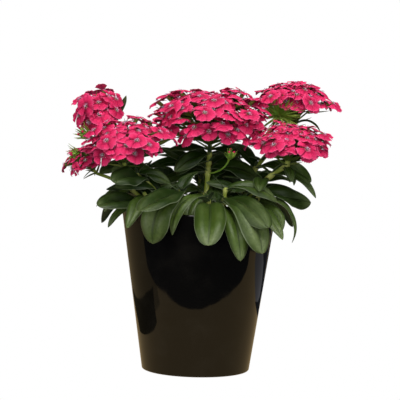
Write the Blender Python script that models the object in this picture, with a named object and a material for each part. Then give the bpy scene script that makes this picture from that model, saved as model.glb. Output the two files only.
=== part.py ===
"""A potted dianthus: a glossy black pot, compost, six flowering stems and the leafy shoots round them.

Metres, +Z up. The origin is the centre of the pot's flat underside, and -Y is the side that faces the viewer.
The plan tables are in millimetres and degrees. A heading of 0 points along +X and one of -90 along -Y.
"""

import math
import random
from dataclasses import dataclass

import bmesh
import bpy
from mathutils import Matrix, Vector
from mathutils.bvhtree import BVHTree

MM = 0.001
GOLDEN_ANGLE = math.radians(137.508)

# Pot, a turned cone with a rounded lip.
POT_HEIGHT = 140.0
POT_RIM_RADIUS = 67.5
POT_BASE_RADIUS = 47.0
POT_WALL = 2.4
POT_FLOOR = 3.0
POT_FOOT_BEVEL = 1.6
POT_SIDES = 36

# Compost, which fills the pot to a little below the rim.
SOIL_TOP = 127.0
SOIL_MOUND = 3.0
SOIL_SIDES = 28
GAP = 0.3

# Stems stand in plain holes in the compost.
ROOT_DEPTH = 14.0
HOLE_CLEARANCE = 0.4
STEM_SIDES = 5
STEM_TAPER = 0.22
STEM_RISE = 0.35
STEM_SPREAD = 0.3
KNUCKLE_SWELL = 1.4
KNUCKLE_SPACE = 0.04

# Leaves, each a thin arched blade with a channel along its midrib.
LEAF_THICKNESS = 0.9
LEAF_CLEARANCE = 1.6
LEAF_STEPS = 24
LEAF_DROOP_POWER = 1.15
LEAF_FOOT_SHARE = 0.16
LEAF_ROUNDNESS = 0.55
LEAF_FOLD = 24.0
LEAF_UNFOLDING = 26.0
LEAF_STATIONS = (0.0, 0.25, 0.58, 0.88, 1.0)
SMALL_LEAF_STATIONS = (0.0, 0.35, 0.8, 1.0)
SMALL_LEAF = 56.0
LEAF_TRIES = ((0, 0, 0), (0, 8, 6), (9, 0, 0), (-9, 0, 0), (0, -8, -8), (14, 10, 6), (-14, 10, 6), (16, -8, -8),
              (-16, -8, -8), (24, 4, 4), (-24, 4, 4), (0, 18, 14), (30, 14, 10), (-30, 14, 10), (0, -16, -16),
              (40, 0, 0), (-40, 0, 0), (40, 16, 12), (-40, 16, 12), (56, 8, 4), (-56, 8, 4))

# Bracts, a whorl of narrow green spikes under each head.
BRACTS = 6
BRACT_ROOT_RADIUS = 3.6
BRACT_RISE = math.radians(24)
BRACT_DROP = 4.0
BRACT_SHARE = 0.45
BRACT_EXTRA = 6.0
BRACT_TURN = 0.3

# Florets, each five toothed petals on a calyx that is sunk in the head's core.
PETALS = 5
PETAL_THICKNESS = 0.8
PETAL_OUTLINE = ((-36.0, 0.60, 0.2), (-25.0, 1.0, 0.6), (25.0, 1.0, 0.6))
PLATE_CLEARANCE = 0.4
OTHER_HEAD_WEIGHT = 1000
CALYX_SIDES = 3
CALYX_TOP_RADIUS = 2.2
CALYX_FOOT_RADIUS = 1.6
LAYER_STEP = 1.5
FLORET_SHIFTS = (0.0, 1.2, -1.2, 2.4, -2.4, 3.6, -3.6, 4.8, -4.8)
FLORET_TILTS = (0.0, 0.12, -0.12, 0.24, -0.24)
HEAD_EDGE = math.radians(84)
HEAD_SQUARENESS = 2.6
CORE_SHARE = 0.56
FOOT_SHARE = 0.40
CORE_SIDES = 8
CORE_LEVELS = (40, 80)
CORE_WAIST = 0.4
CORE_WAIST_DROP = 0.45
NECK_RADIUS = 2.3
NECK_RUN = 5.0


@dataclass(frozen=True)
class Head:
    """A dome of florets. base is the centre of the ring of its outermost florets, and lean tips its axis."""

    name: str
    base: tuple
    lean: tuple
    across: float
    deep: float
    high: float
    neck: float
    florets: int
    petal: float
    facing: float
    seed: int


@dataclass(frozen=True)
class Leaf:
    """A leaf on a stem: the height it leaves from, its heading and size, how it rises at the stem and
    droops at the tip, and how far it shows its upper face to the viewer."""

    at: float
    heading: float
    length: float
    width: float
    rise: float
    droop: float
    shows: float = 0.0


@dataclass(frozen=True)
class Shoot:
    """A leafy stem. Its tip is either a point or a head's neck, and bow is how early it spreads."""

    name: str
    foot: tuple
    tip: tuple
    radius: float
    bow: float
    leaves: tuple
    head: str = ""


HEADS = (
    Head("head_centre", (8, 8, 218), (0.0, -0.20), 45, 41, 24, 21, 35, 12.4, 0.60, 3),
    Head("head_left_front", (-67, -27, 198), (-0.08, -0.34), 30, 28, 16, 18, 20, 12.2, 0.62, 5),
    Head("head_right_front", (77, -19, 201), (0.08, -0.34), 30, 27, 13, 16, 19, 12.2, 0.62, 7),
    Head("head_right_back", (84, 46, 233), (0.08, -0.14), 31, 28, 18, 17, 19, 12.2, 0.62, 11),
    Head("head_left_back", (-93, 24, 222), (-0.20, -0.75), 16, 16, 16, 13, 9, 12.2, 0.72, 13),
    Head("head_left_low", (-100, -4, 181), (-0.85, -0.55), 15, 14, 11, 11, 8, 8.6, 0.72, 17),
)

SHOOTS = (
    Shoot("shoot_front", (8, -36), (8, -42, 154), 1.9, 0.4, (
        Leaf(148, -90, 68, 27, -4, -57), Leaf(149, -134, 64, 15, 28, -106),
        Leaf(138, 80, 38, 16, 56, 20),
    )),
    Shoot("shoot_front_right", (20, -34), (22, -40, 162), 2.0, 0.4, (
        Leaf(144, -75, 77, 21, 9, -92, 48), Leaf(148, -61, 82, 29, 9, -77, 12),
        Leaf(152, -59, 73, 25, 3, -38, 33), Leaf(160, 8, 50, 20, 20, -52, 40),
    )),
    Shoot("shoot_front_left", (-14, -34), (-16, -42, 160), 2.0, 0.4, (
        Leaf(151, -125, 65, 29, 13, -112), Leaf(157, -120, 67, 26, 1, -26, 42),
        Leaf(156, 60, 34, 13, 54, 10),
    )),
    Shoot("shoot_left", (-40, -18), (-48, -22, 156), 1.9, 0.4, (
        Leaf(145, -142, 53, 24, 7, -9, 52), Leaf(152, -107, 55, 15, 0, -63),
        Leaf(147, -156, 45, 10, 1, -71, 24), Leaf(152, 109, 34, 13, 54, 10),
    )),
    Shoot("shoot_right", (45, -20), (52, -26, 158), 1.9, 0.4, (
        Leaf(144, -61, 54, 14, -2, -57, 6), Leaf(156, 32, 56, 24, 4, -22, 55),
        Leaf(144, -38, 38, 14, 10, -85, 36), Leaf(153, -3, 60, 7, 5, -122, 27),
    )),
    Shoot("stem_centre", (5, -14), (), 2.5, 0.3, (
        Leaf(153, -119, 44, 15, 1, -81, 28), Leaf(175, 14, 48, 24, 12, -34, 46),
        Leaf(181, -166, 34, 17, 18, -73, 40), Leaf(154, 72, 58, 20, 34, -16),
        Leaf(172, 170, 60, 20, 0, -44, 30), Leaf(188, -146, 40, 17, 0, -50, 40),
        Leaf(188, 38, 44, 14, 10, -40),
    ), "head_centre"),
    Shoot("stem_left_front", (-17, -18), (), 2.2, 0.5, (
        Leaf(164, -126, 47, 22, 24, -26, 72), Leaf(170, 11, 32, 15, 12, -46, 47),
        Leaf(149, 174, 54, 24, 52, 0, 50), Leaf(149, -6, 36, 15, 52, 18),
        Leaf(164, 116, 46, 16, 32, -18),
    ), "head_left_front"),
    Shoot("stem_right_front", (26, -14), (), 2.3, 0.5, (
        Leaf(172, -12, 48, 13, 13, -71, 27), Leaf(167, -98, 37, 13, 19, -49, 23),
        Leaf(182, 43, 47, 13, 32, -19, 41), Leaf(150, 36, 54, 19, 26, -32, 20),
        Leaf(150, -170, 40, 16, 50, -10, 20), Leaf(180, -70, 22, 8, -6, -72),
    ), "head_right_front"),
    Shoot("stem_right_back", (22, 14), (), 2.3, 0.4, (
        Leaf(154, 30, 58, 19, 40, -24, 20), Leaf(154, -130, 40, 16, 54, 6),
        Leaf(176, -22, 56, 19, 16, -44, 40), Leaf(176, 130, 54, 18, 40, -14, 20),
        Leaf(200, 70, 42, 12, 14, -40), Leaf(200, -120, 40, 11, 14, -38),
    ), "head_right_back"),
    Shoot("stem_left_back", (-20, 12), (), 2.2, 0.45, (
        Leaf(172, -138, 54, 18, 26, -36, 40), Leaf(152, 92, 60, 20, 52, -18),
        Leaf(172, 24, 58, 18, 24, -20, 30), Leaf(194, 84, 44, 12, 16, -36),
        Leaf(194, -14, 46, 10, 44, -12, 40),
    ), "head_left_back"),
    Shoot("stem_left_low", (-33, -3), (), 1.8, 0.7, (
        Leaf(148, 131, 54, 20, 26, -16, 44), Leaf(156, -150, 34, 10, -10, -66, 30),
    ), "head_left_low"),
    Shoot("shoot_back_right", (38, 30), (46, 38, 172), 2.0, 0.4, (
        Leaf(142, 38, 72, 24, 28, -78), Leaf(146, 84, 66, 21, 34, -66),
        Leaf(152, 4, 60, 22, 28, -50, 20), Leaf(160, 60, 54, 18, 40, -40),
        Leaf(168, 130, 46, 15, 40, -20),
    )),
    Shoot("shoot_back", (0, 44), (0, 52, 176), 2.0, 0.4, (
        Leaf(142, 92, 72, 25, 30, -86), Leaf(146, 66, 68, 20, 28, -70),
        Leaf(150, 126, 70, 22, 30, -70), Leaf(160, 86, 56, 18, 42, -48),
        Leaf(170, 30, 46, 15, 44, -10), Leaf(170, 170, 46, 15, 44, -10),
    )),
    Shoot("shoot_back_left", (-38, 26), (-46, 32, 168), 2.0, 0.4, (
        Leaf(142, 146, 72, 24, 28, -78), Leaf(146, 104, 66, 21, 34, -66),
        Leaf(152, -176, 58, 21, 26, -48, 20), Leaf(158, 128, 50, 17, 48, -26),
    )),
    Shoot("shoot_middle", (2, 22), (2, 26, 184), 2.0, 0.3, (
        Leaf(164, 170, 50, 19, 50, 4, 30), Leaf(180, 110, 50, 17, 36, -20),
        Leaf(172, 60, 46, 17, 44, -16),
    )),
)


def vector(points):
    """A point of a plan table, in metres."""
    return Vector(points) * MM


def direction(heading, elevation):
    """The unit vector of a heading and an elevation, both in radians."""
    flat = math.cos(elevation)
    return Vector((math.cos(heading) * flat, math.sin(heading) * flat, math.sin(elevation)))


def head_axes(head):
    """The head's own directions: across, deep and along its axis."""
    up = Vector((head.lean[0], head.lean[1], 1.0)).normalized()
    across = Vector((0, 1, 0)).cross(up).normalized()
    return across, up.cross(across), up


def head_point(head, across, deep, high):
    """A point given in the head's own directions, in millimetres, as a point of the model."""
    a, d, u = head_axes(head)
    return vector(head.base) + (a * across + d * deep + u * high) * MM


def neck_of(head):
    """Where the stem's top meets the head."""
    return head_point(head, 0, 0, -head.neck)


def dome_point(head, down, round_, share=1.0):
    """A point of the head's flat-topped dome, or of a smaller one inside it, in the head's own directions."""
    power = HEAD_SQUARENESS
    squared = (math.sin(down) ** power + abs(math.cos(down)) ** power) ** (-1 / power)
    out, up = math.sin(down) * squared * share, math.cos(down) * squared * share
    return head.across * out * math.cos(round_), head.deep * out * math.sin(round_), head.high * up


def floret_places(head, placed):
    """(centre, facing, spin, petal length, foot) of each floret, on a golden-angle spiral over the dome.

    Neighbours stand in three layers, and each is raised, lowered or tipped to where it crosses the least of
    the others and of the florets already placed on other heads, whose search trees are in placed.
    """
    rng = random.Random(head.seed)
    a, d, u = head_axes(head)
    start = rng.uniform(0, math.tau)
    places, trees, wholes = [], [], [tree_of(core_mesh(head))]
    for i in range(head.florets):
        down = HEAD_EDGE * math.sqrt((i + 0.5) / head.florets)
        round_ = start + i * GOLDEN_ANGLE
        tilt = down * head.facing + rng.uniform(-0.08, 0.08)
        swing = round_ + rng.uniform(-0.2, 0.2)
        spin = rng.uniform(0, math.tau)
        petal = head.petal * rng.uniform(0.94, 1.06) * MM
        level = ((i % 3) - 1) * LAYER_STEP
        foot = head_point(head, *dome_point(head, down, round_, FOOT_SHARE))
        best = None
        for shift in FLORET_SHIFTS:
            for tip in FLORET_TILTS:
                lean = tilt + tip
                facing = (a * math.cos(swing) + d * math.sin(swing)) * math.sin(lean) + u * math.cos(lean)
                centre = head_point(head, *dome_point(head, down, round_)) + facing * (level + shift) * MM
                place = (centre, facing.normalized(), spin, petal, foot)
                tree = tree_of(floret_mesh(place, 0.6, PLATE_CLEARANCE))
                whole = tree_of(floret_mesh(place, 1.0, PLATE_CLEARANCE))
                crossed = sum(len(tree.overlap(other)) for other in trees)
                crossed += OTHER_HEAD_WEIGHT * sum(len(whole.overlap(other)) for other in placed)
                if best is None or crossed < best[0]:
                    best = (crossed, place, tree, whole)
        places.append(best[1])
        trees.append(best[2])
        wholes.append(best[3])
    placed += wholes
    return places


def plane_axes(facing, spin):
    """Two unit vectors across a facing direction, turned by spin."""
    side = facing.orthogonal().normalized()
    side = Matrix.Rotation(spin, 3, facing) @ side
    return side, facing.cross(side)


def floret_mesh(place, calyx_share=1.0, spare=0.0):
    """A floret of five petals in one thin notched plate, on its calyx tube. spare thickens the plate."""
    centre, facing, spin, petal, foot = place
    side, other = plane_axes(facing, spin)
    verts, faces = [centre + facing * spare * MM], []
    for level in (spare, -PETAL_THICKNESS - spare):
        for k in range(PETALS):
            for angle, reach, lift in PETAL_OUTLINE:
                turned = math.radians(angle + k * 360 / PETALS)
                flat = (side * math.cos(turned) + other * math.sin(turned)) * reach * petal
                verts.append(centre + flat + facing * (lift + level) * MM)
    rim = PETALS * len(PETAL_OUTLINE)
    throat = centre - facing * PETAL_THICKNESS * MM
    for middle, radius in ((throat, CALYX_TOP_RADIUS), (centre.lerp(foot, calyx_share), CALYX_FOOT_RADIUS)):
        for k in range(CALYX_SIDES):
            turned = math.tau * k / CALYX_SIDES
            verts.append(middle + (side * math.cos(turned) + other * math.sin(turned)) * radius * MM)
    top, bottom, ring = 1, 1 + rim, 1 + 2 * rim
    for i in range(rim):
        j = (i + 1) % rim
        faces.append((0, top + i, top + j))
        faces.append((top + i, bottom + i, bottom + j, top + j))
        here, after = ring + i * CALYX_SIDES // rim, ring + (i + 1) * CALYX_SIDES // rim % CALYX_SIDES
        faces.append((here, bottom + j, bottom + i))
        if here != after:
            faces.append((here, after, bottom + j))
            faces.append((here, here + CALYX_SIDES, after + CALYX_SIDES, after))
    faces.append(tuple(ring + CALYX_SIDES + k for k in reversed(range(CALYX_SIDES))))
    return verts, faces


def core_mesh(head):
    """The head's dense heart of short branches: a small dome that narrows to the neck."""
    rings = [dome_point(head, math.radians(down), 0, CORE_SHARE) for down in CORE_LEVELS]
    rings = [(across, across * head.deep / head.across, high) for across, _, high in rings]
    waist = CORE_WAIST * CORE_SHARE
    rings.append((waist * head.across, waist * head.deep, -CORE_WAIST_DROP * head.neck))
    rings.append((NECK_RADIUS, NECK_RADIUS, GAP - head.neck))
    verts, faces = [head_point(head, 0, 0, head.high * CORE_SHARE)], []
    for ra, rd, z in rings:
        for k in range(CORE_SIDES):
            turned = math.tau * k / CORE_SIDES
            verts.append(head_point(head, ra * math.cos(turned), rd * math.sin(turned), z))
    for k in range(CORE_SIDES):
        after = (k + 1) % CORE_SIDES
        faces.append((0, 1 + k, 1 + after))
        for r in range(len(rings) - 1):
            low, high_ = 1 + r * CORE_SIDES, 1 + (r + 1) * CORE_SIDES
            faces.append((low + k, high_ + k, high_ + after, low + after))
    last = 1 + (len(rings) - 1) * CORE_SIDES
    faces.append(tuple(last + k for k in reversed(range(CORE_SIDES))))
    return verts, faces


def tip_of(shoot, heads):
    """Where the curve of a shoot's stem ends: its tip, or a little below its head."""
    if not shoot.head:
        return vector(shoot.tip)
    head = heads[shoot.head]
    return head_point(head, 0, 0, -head.neck - NECK_RUN)


def stem_point(shoot, tip, t):
    """A point on the stem's curve, from the compost at t 0 to its top at t 1."""
    foot = vector((*shoot.foot, SOIL_TOP))
    bend = foot.lerp(tip, 0.5)
    bend.z = foot.z + (tip.z - foot.z) * (0.5 + STEM_RISE * shoot.bow)
    bend.xy = foot.xy.lerp(tip.xy, 0.5 - STEM_SPREAD * shoot.bow)
    return foot * (1 - t) ** 2 + bend * (2 * t * (1 - t)) + tip * t * t


def height_on_stem(shoot, tip, at):
    """The t at which the stem's curve reaches a height in millimetres."""
    low, high = 0.0, 1.0
    for _ in range(24):
        middle = (low + high) / 2
        if stem_point(shoot, tip, middle).z < at * MM:
            low = middle
        else:
            high = middle
    return low


def tube_mesh(points, radii, sides):
    """A closed tube through the points, with flat ends. The first and last rings lie level with their ends."""
    verts, faces = [], []
    side = Vector((1, 0, 0))
    for i, point in enumerate(points):
        along = (points[min(i + 1, len(points) - 1)] - points[max(i - 1, 0)]).normalized()
        side = (side - along * side.dot(along)).normalized()
        other = along.cross(side)
        for k in range(sides):
            turned = math.tau * k / sides
            verts.append(point + (side * math.cos(turned) + other * math.sin(turned)) * radii[i])
    for i in range(len(points) - 1):
        low, high = i * sides, (i + 1) * sides
        for k in range(sides):
            after = (k + 1) % sides
            faces.append((low + k, low + after, high + after, high + k))
    faces.append(tuple(reversed(range(sides))))
    faces.append(tuple((len(points) - 1) * sides + k for k in range(sides)))
    return verts, faces


def stem_mesh(shoot, tip, heads):
    """The stem from its foot in the compost to its top, thicker at the knuckle of each pair of leaves."""
    foot = vector((*shoot.foot, SOIL_TOP))
    knuckles = sorted({height_on_stem(shoot, tip, leaf.at) for leaf in shoot.leaves})
    between = [(low + high) / 2 for low, high in zip([0.0] + knuckles, knuckles + [1.0])]
    stops = {t: 1.0 for t in between + [1.0]}
    stops.update({t: KNUCKLE_SWELL for t in knuckles})
    points = [foot - Vector((0, 0, ROOT_DEPTH * MM)), foot]
    radii = [shoot.radius * MM, shoot.radius * MM]
    last = 0.0
    for t in sorted(stops):
        if t == 1.0 or last + KNUCKLE_SPACE < t < 1.0 - KNUCKLE_SPACE:
            points.append(stem_point(shoot, tip, t))
            radii.append(shoot.radius * (1.0 - STEM_TAPER * t) * stops[t] * MM)
            last = t
    if shoot.head:
        points.append(neck_of(heads[shoot.head]))
        radii.append(radii[-1])
    return tube_mesh(points, radii, STEM_SIDES)


def leaf_line(leaf, foot):
    """The midrib's points with their directions: forward, sideways and up, at equal steps from foot to tip."""
    rows, point = [], foot.copy()
    step = leaf.length * MM / LEAF_STEPS
    for i in range(LEAF_STEPS + 1):
        s = i / LEAF_STEPS
        heading = math.radians(leaf.heading)
        elevation = math.radians(leaf.rise + (leaf.droop - leaf.rise) * s ** LEAF_DROOP_POWER)
        forward = direction(heading, elevation)
        level = Vector((-math.sin(heading), math.cos(heading), 0))
        roll = math.radians(leaf.shows) * math.cos(heading) * min(1.0, 2 * s)
        side = Matrix.Rotation(roll, 3, forward) @ level
        rows.append((point.copy(), forward, side, forward.cross(side)))
        point += forward * step
    return rows


def half_width(leaf, s):
    """Half of a leaf's width at a share s of its length."""
    q = s ** 0.9
    return leaf.width * MM / 2 * (LEAF_FOOT_SHARE * (1 - s) ** 4 + (4 * q * (1 - q)) ** LEAF_ROUNDNESS)


def fold(s):
    """How far a leaf's edges stand above its midrib: channelled near the stem, and nearly flat at the tip."""
    return math.radians(LEAF_FOLD - LEAF_UNFOLDING * s)


def blade_mesh(leaf, foot, thickness, first=0):
    """A leaf as a closed blade of even thickness, with three points across it at each station."""
    rows = leaf_line(leaf, foot)
    stations = (LEAF_STATIONS if leaf.length > SMALL_LEAF else SMALL_LEAF_STATIONS)[first:]
    verts, faces = [], []
    for s in stations[:-1]:
        point, _, side, up = rows[round(s * LEAF_STEPS)]
        reach = half_width(leaf, s)
        lift = up * (thickness / 2 * MM)
        for across in (-1, 0, 1):
            spread = side * (across * reach * math.cos(fold(s)))
            spread += up * (abs(across) * reach * math.sin(fold(s)))
            verts += [point + spread + lift, point + spread - lift]
    point, _, _, up = rows[-1]
    verts += [point + up * (thickness / 2 * MM), point - up * (thickness / 2 * MM)]
    for i in range(len(stations) - 2):
        a, b = i * 6, (i + 1) * 6
        for c in (0, 2):
            faces.append((a + c, b + c, b + c + 2, a + c + 2))
            faces.append((a + c + 3, b + c + 3, b + c + 1, a + c + 1))
        faces.append((a + 1, b + 1, b, a))
        faces.append((a + 4, b + 4, b + 5, a + 5))
    a, tip = (len(stations) - 2) * 6, len(verts) - 2
    faces += [(a, tip, a + 2), (a + 2, tip, a + 4), (a + 3, tip + 1, a + 1), (a + 5, tip + 1, a + 3)]
    faces += [(a + 1, tip + 1, tip, a), (a + 4, tip, tip + 1, a + 5)]
    faces += [(0, 2, 3, 1), (2, 4, 5, 3)]
    return verts, faces


def tree_of(mesh):
    """A search tree of a mesh's faces."""
    return BVHTree.FromPolygons(*mesh)


def whorl_mesh(head):
    """The whorl of bracts under a head, one thin star whose spikes rise from the stem."""
    reach = BRACT_SHARE * head.across + BRACT_EXTRA
    verts, faces = [], []
    for level in (LEAF_THICKNESS / 2, -LEAF_THICKNESS / 2):
        height = level - head.neck - BRACT_DROP
        verts.append(head_point(head, 0, 0, height))
        for k in range(2 * BRACTS):
            turned = math.tau * (k + BRACT_TURN * head.seed) / (2 * BRACTS)
            out = reach if k % 2 else BRACT_ROOT_RADIUS
            rise = out * math.tan(BRACT_RISE) if k % 2 else 0.0
            verts.append(head_point(head, out * math.cos(turned), out * math.sin(turned), height + rise))
    below = 2 * BRACTS + 1
    for k in range(2 * BRACTS):
        here, after = 1 + k, 1 + (k + 1) % (2 * BRACTS)
        faces += [(0, here, after), (below, below + after, below + here)]
        faces.append((here, below + here, below + after, after))
    return verts, faces


def settle(leaf, foot, own, others):
    """The first small change of heading, rise and droop with which the leaf is clear of all that is placed."""
    for heading, rise, droop in LEAF_TRIES:
        moved = Leaf(leaf.at, leaf.heading + heading, leaf.length, leaf.width, leaf.rise + rise,
                     leaf.droop + droop, leaf.shows)
        whole = tree_of(blade_mesh(moved, foot, LEAF_CLEARANCE))
        free = tree_of(blade_mesh(moved, foot, LEAF_CLEARANCE, 1))
        if not any(whole.overlap(other) for other in others) and not any(free.overlap(other) for other in own):
            return moved
    return None


def grow(pot_and_soil, head_meshes):
    """Every stem with the leaves that fit: {shoot name: (tip, leaves with their feet)}."""
    heads = {head.name: head for head in HEADS}
    head_trees = {}
    for head in HEADS:
        head_trees[head.name] = [tree_of(mesh) for mesh in head_meshes[head.name]]
    tips = {shoot.name: tip_of(shoot, heads) for shoot in SHOOTS}
    stems = {shoot.name: [tree_of(stem_mesh(shoot, tips[shoot.name], heads))] for shoot in SHOOTS}
    for shoot in SHOOTS:
        if shoot.head:
            stems[shoot.name].append(tree_of(whorl_mesh(heads[shoot.head])))
    blades = {shoot.name: [] for shoot in SHOOTS}
    grown = {}
    for shoot in SHOOTS:
        tip = tips[shoot.name]
        others = list(pot_and_soil)
        others += [tree for name, trees in stems.items() if name != shoot.name for tree in trees]
        others += [tree for trees in head_trees.values() for tree in trees]
        others += [tree for name, trees in blades.items() if name != shoot.name for tree in trees]
        own, kept = [], []
        for leaf in shoot.leaves:
            foot = stem_point(shoot, tip, height_on_stem(shoot, tip, leaf.at))
            moved = settle(leaf, foot, own, others)
            if moved is None:
                continue
            own.append(tree_of(blade_mesh(moved, foot, LEAF_CLEARANCE, 1)))
            blades[shoot.name].append(tree_of(blade_mesh(moved, foot, LEAF_CLEARANCE)))
            kept.append((moved, foot))
        grown[shoot.name] = (tip, kept)
    return grown


def material(name, colour, roughness, metallic=0.0):
    """A plain Principled material."""
    made = bpy.data.materials.new(name)
    made.use_nodes = True
    shader = made.node_tree.nodes["Principled BSDF"]
    shader.inputs["Base Color"].default_value = (*colour, 1.0)
    shader.inputs["Roughness"].default_value = roughness
    shader.inputs["Metallic"].default_value = metallic
    return made


def add_object(name, mesh, finish, collection=None):
    """An object of a closed mesh, with its faces pointing out."""
    data = bpy.data.meshes.new(name)
    data.from_pydata(mesh[0], [], mesh[1])
    shaped = bmesh.new()
    shaped.from_mesh(data)
    bmesh.ops.recalc_face_normals(shaped, faces=shaped.faces)
    shaped.to_mesh(data)
    shaped.free()
    data.materials.append(finish)
    made = bpy.data.objects.new(name, data)
    (collection or bpy.context.scene.collection).objects.link(made)
    return made


def boolean(base, operation, meshes, finish):
    """Joins the meshes to the base, or cuts them from it, in one step."""
    group = bpy.data.collections.new(base.name + "_pieces")
    bpy.context.scene.collection.children.link(group)
    pieces = [add_object(f"{base.name}_piece_{i}", mesh, finish, group) for i, mesh in enumerate(meshes)]
    step = base.modifiers.new("Join", "BOOLEAN")
    step.operation = operation
    step.operand_type = "COLLECTION"
    step.collection = group
    step.solver = "MANIFOLD"
    bpy.context.view_layer.update()
    shaped = bpy.data.meshes.new_from_object(base.evaluated_get(bpy.context.evaluated_depsgraph_get()))
    base.modifiers.clear()
    base.data = shaped
    for piece in pieces:
        bpy.data.objects.remove(piece)
    bpy.data.collections.remove(group)
    return base


def lathe(profile, sides):
    """A closed turned solid. Its profile runs from the axis at the bottom, round the outside, to the axis."""
    verts, faces, rings = [], [], []
    for radius, z in profile:
        if radius == 0:
            rings.append([len(verts)])
            verts.append(Vector((0, 0, z)) * MM)
            continue
        rings.append([len(verts) + k for k in range(sides)])
        for k in range(sides):
            turned = math.tau * k / sides
            verts.append(Vector((radius * math.cos(turned), radius * math.sin(turned), z)) * MM)
    for low, high in zip(rings, rings[1:]):
        for k in range(sides):
            after = (k + 1) % sides
            corners = [low[k % len(low)], low[after % len(low)], high[after % len(high)], high[k % len(high)]]
            faces.append(tuple(dict.fromkeys(corners)))
    return verts, faces


def wall_radius(z):
    """The pot's outer radius at a height."""
    return POT_BASE_RADIUS + (POT_RIM_RADIUS - POT_BASE_RADIUS) * z / POT_HEIGHT


def pot_mesh():
    """The pot: a flat underside, a straight flaring wall and a rounded lip."""
    lip = POT_WALL / 2
    profile = [
        (0, 0), (POT_BASE_RADIUS - POT_FOOT_BEVEL, 0), (wall_radius(POT_FOOT_BEVEL), POT_FOOT_BEVEL),
        (wall_radius(POT_HEIGHT - lip), POT_HEIGHT - lip), (POT_RIM_RADIUS - 0.5 * lip, POT_HEIGHT),
        (POT_RIM_RADIUS - 1.5 * lip, POT_HEIGHT), (wall_radius(POT_HEIGHT - lip) - POT_WALL, POT_HEIGHT - lip),
        (wall_radius(POT_FLOOR) - POT_WALL, POT_FLOOR), (0, POT_FLOOR),
    ]
    return lathe(profile, POT_SIDES)


def soil_mesh():
    """The compost, a plug with a low mound."""
    low, high = POT_FLOOR + GAP, SOIL_TOP - SOIL_MOUND
    shrink = POT_WALL + 2 * GAP
    return lathe([(0, low), (wall_radius(low) - shrink, low), (wall_radius(high) - shrink, high),
                  (0.6 * wall_radius(high), SOIL_TOP - 0.4), (0, SOIL_TOP)], SOIL_SIDES)


def hole_mesh(shoot):
    """The plain round hole that a stem stands in."""
    foot = vector((*shoot.foot, SOIL_TOP))
    radius = (shoot.radius + HOLE_CLEARANCE) * MM
    bottom = foot - Vector((0, 0, (ROOT_DEPTH + GAP) * MM))
    return tube_mesh([bottom, foot + Vector((0, 0, 10 * MM))], [radius, radius], STEM_SIDES)


def build():
    """Makes every object of the plant and its pot."""
    for old in list(bpy.data.objects):
        bpy.data.objects.remove(old)
    black = material("pot_black", (0.006, 0.006, 0.005), 0.08)
    compost = material("compost", (0.035, 0.022, 0.014), 0.95)
    green = material("leaf_green", (0.055, 0.105, 0.03), 0.5)
    pink = material("petal_pink", (0.78, 0.03, 0.13), 0.6)
    pot = pot_mesh()
    soil = soil_mesh()
    add_object("pot", pot, black)
    boolean(add_object("soil", soil, compost), "DIFFERENCE", [hole_mesh(shoot) for shoot in SHOOTS], compost)
    placed, head_meshes = [], {}
    for head in HEADS:
        meshes = [floret_mesh(place) for place in floret_places(head, placed)]
        head_meshes[head.name] = [core_mesh(head)] + meshes
        boolean(add_object(head.name, core_mesh(head), pink), "UNION", meshes, pink)
    heads = {head.name: head for head in HEADS}
    grown = grow([tree_of(pot), tree_of(soil)], head_meshes)
    for shoot in SHOOTS:
        tip, leaves = grown[shoot.name]
        blades = [blade_mesh(leaf, foot, LEAF_THICKNESS) for leaf, foot in leaves]
        if shoot.head:
            blades.append(whorl_mesh(heads[shoot.head]))
        boolean(add_object(shoot.name, stem_mesh(shoot, tip, heads), green), "UNION", blades, green)


build()
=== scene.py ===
"""The looks of a potted dianthus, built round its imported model.

The plan tables give millimetres and degrees, as the model's own source does. A heading of 0 points along
+X and one of -90 along -Y, which is the side that faces the viewer. Everything else is in metres in the
model's frame.
"""

import logging
import math
import random
from dataclasses import dataclass
from enum import Enum

import bpy
from mathutils import Matrix, Vector
from mathutils.kdtree import KDTree


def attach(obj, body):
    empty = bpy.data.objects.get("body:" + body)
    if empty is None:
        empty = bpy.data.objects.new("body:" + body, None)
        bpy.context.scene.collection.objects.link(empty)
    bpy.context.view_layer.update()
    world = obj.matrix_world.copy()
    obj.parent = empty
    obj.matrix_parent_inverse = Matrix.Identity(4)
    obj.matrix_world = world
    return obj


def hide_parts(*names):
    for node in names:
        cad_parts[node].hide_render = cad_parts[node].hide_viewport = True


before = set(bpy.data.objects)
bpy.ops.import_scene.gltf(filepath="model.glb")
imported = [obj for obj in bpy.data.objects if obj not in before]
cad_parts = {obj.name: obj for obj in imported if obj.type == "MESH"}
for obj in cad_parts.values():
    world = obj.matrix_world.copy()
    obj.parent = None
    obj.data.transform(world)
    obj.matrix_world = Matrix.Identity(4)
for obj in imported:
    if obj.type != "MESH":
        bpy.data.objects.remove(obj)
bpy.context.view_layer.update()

LOG = logging.getLogger("dianthus")

MM = 0.001
GOLDEN_ANGLE = math.radians(137.508)

# The height of the compost's top, and the pot's outside and wall.
SOIL_TOP = 127.0
POT_HEIGHT = 140.0
POT_RIM_RADIUS = 67.5
POT_BASE_RADIUS = 47.0
POT_WALL = 2.4

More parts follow.
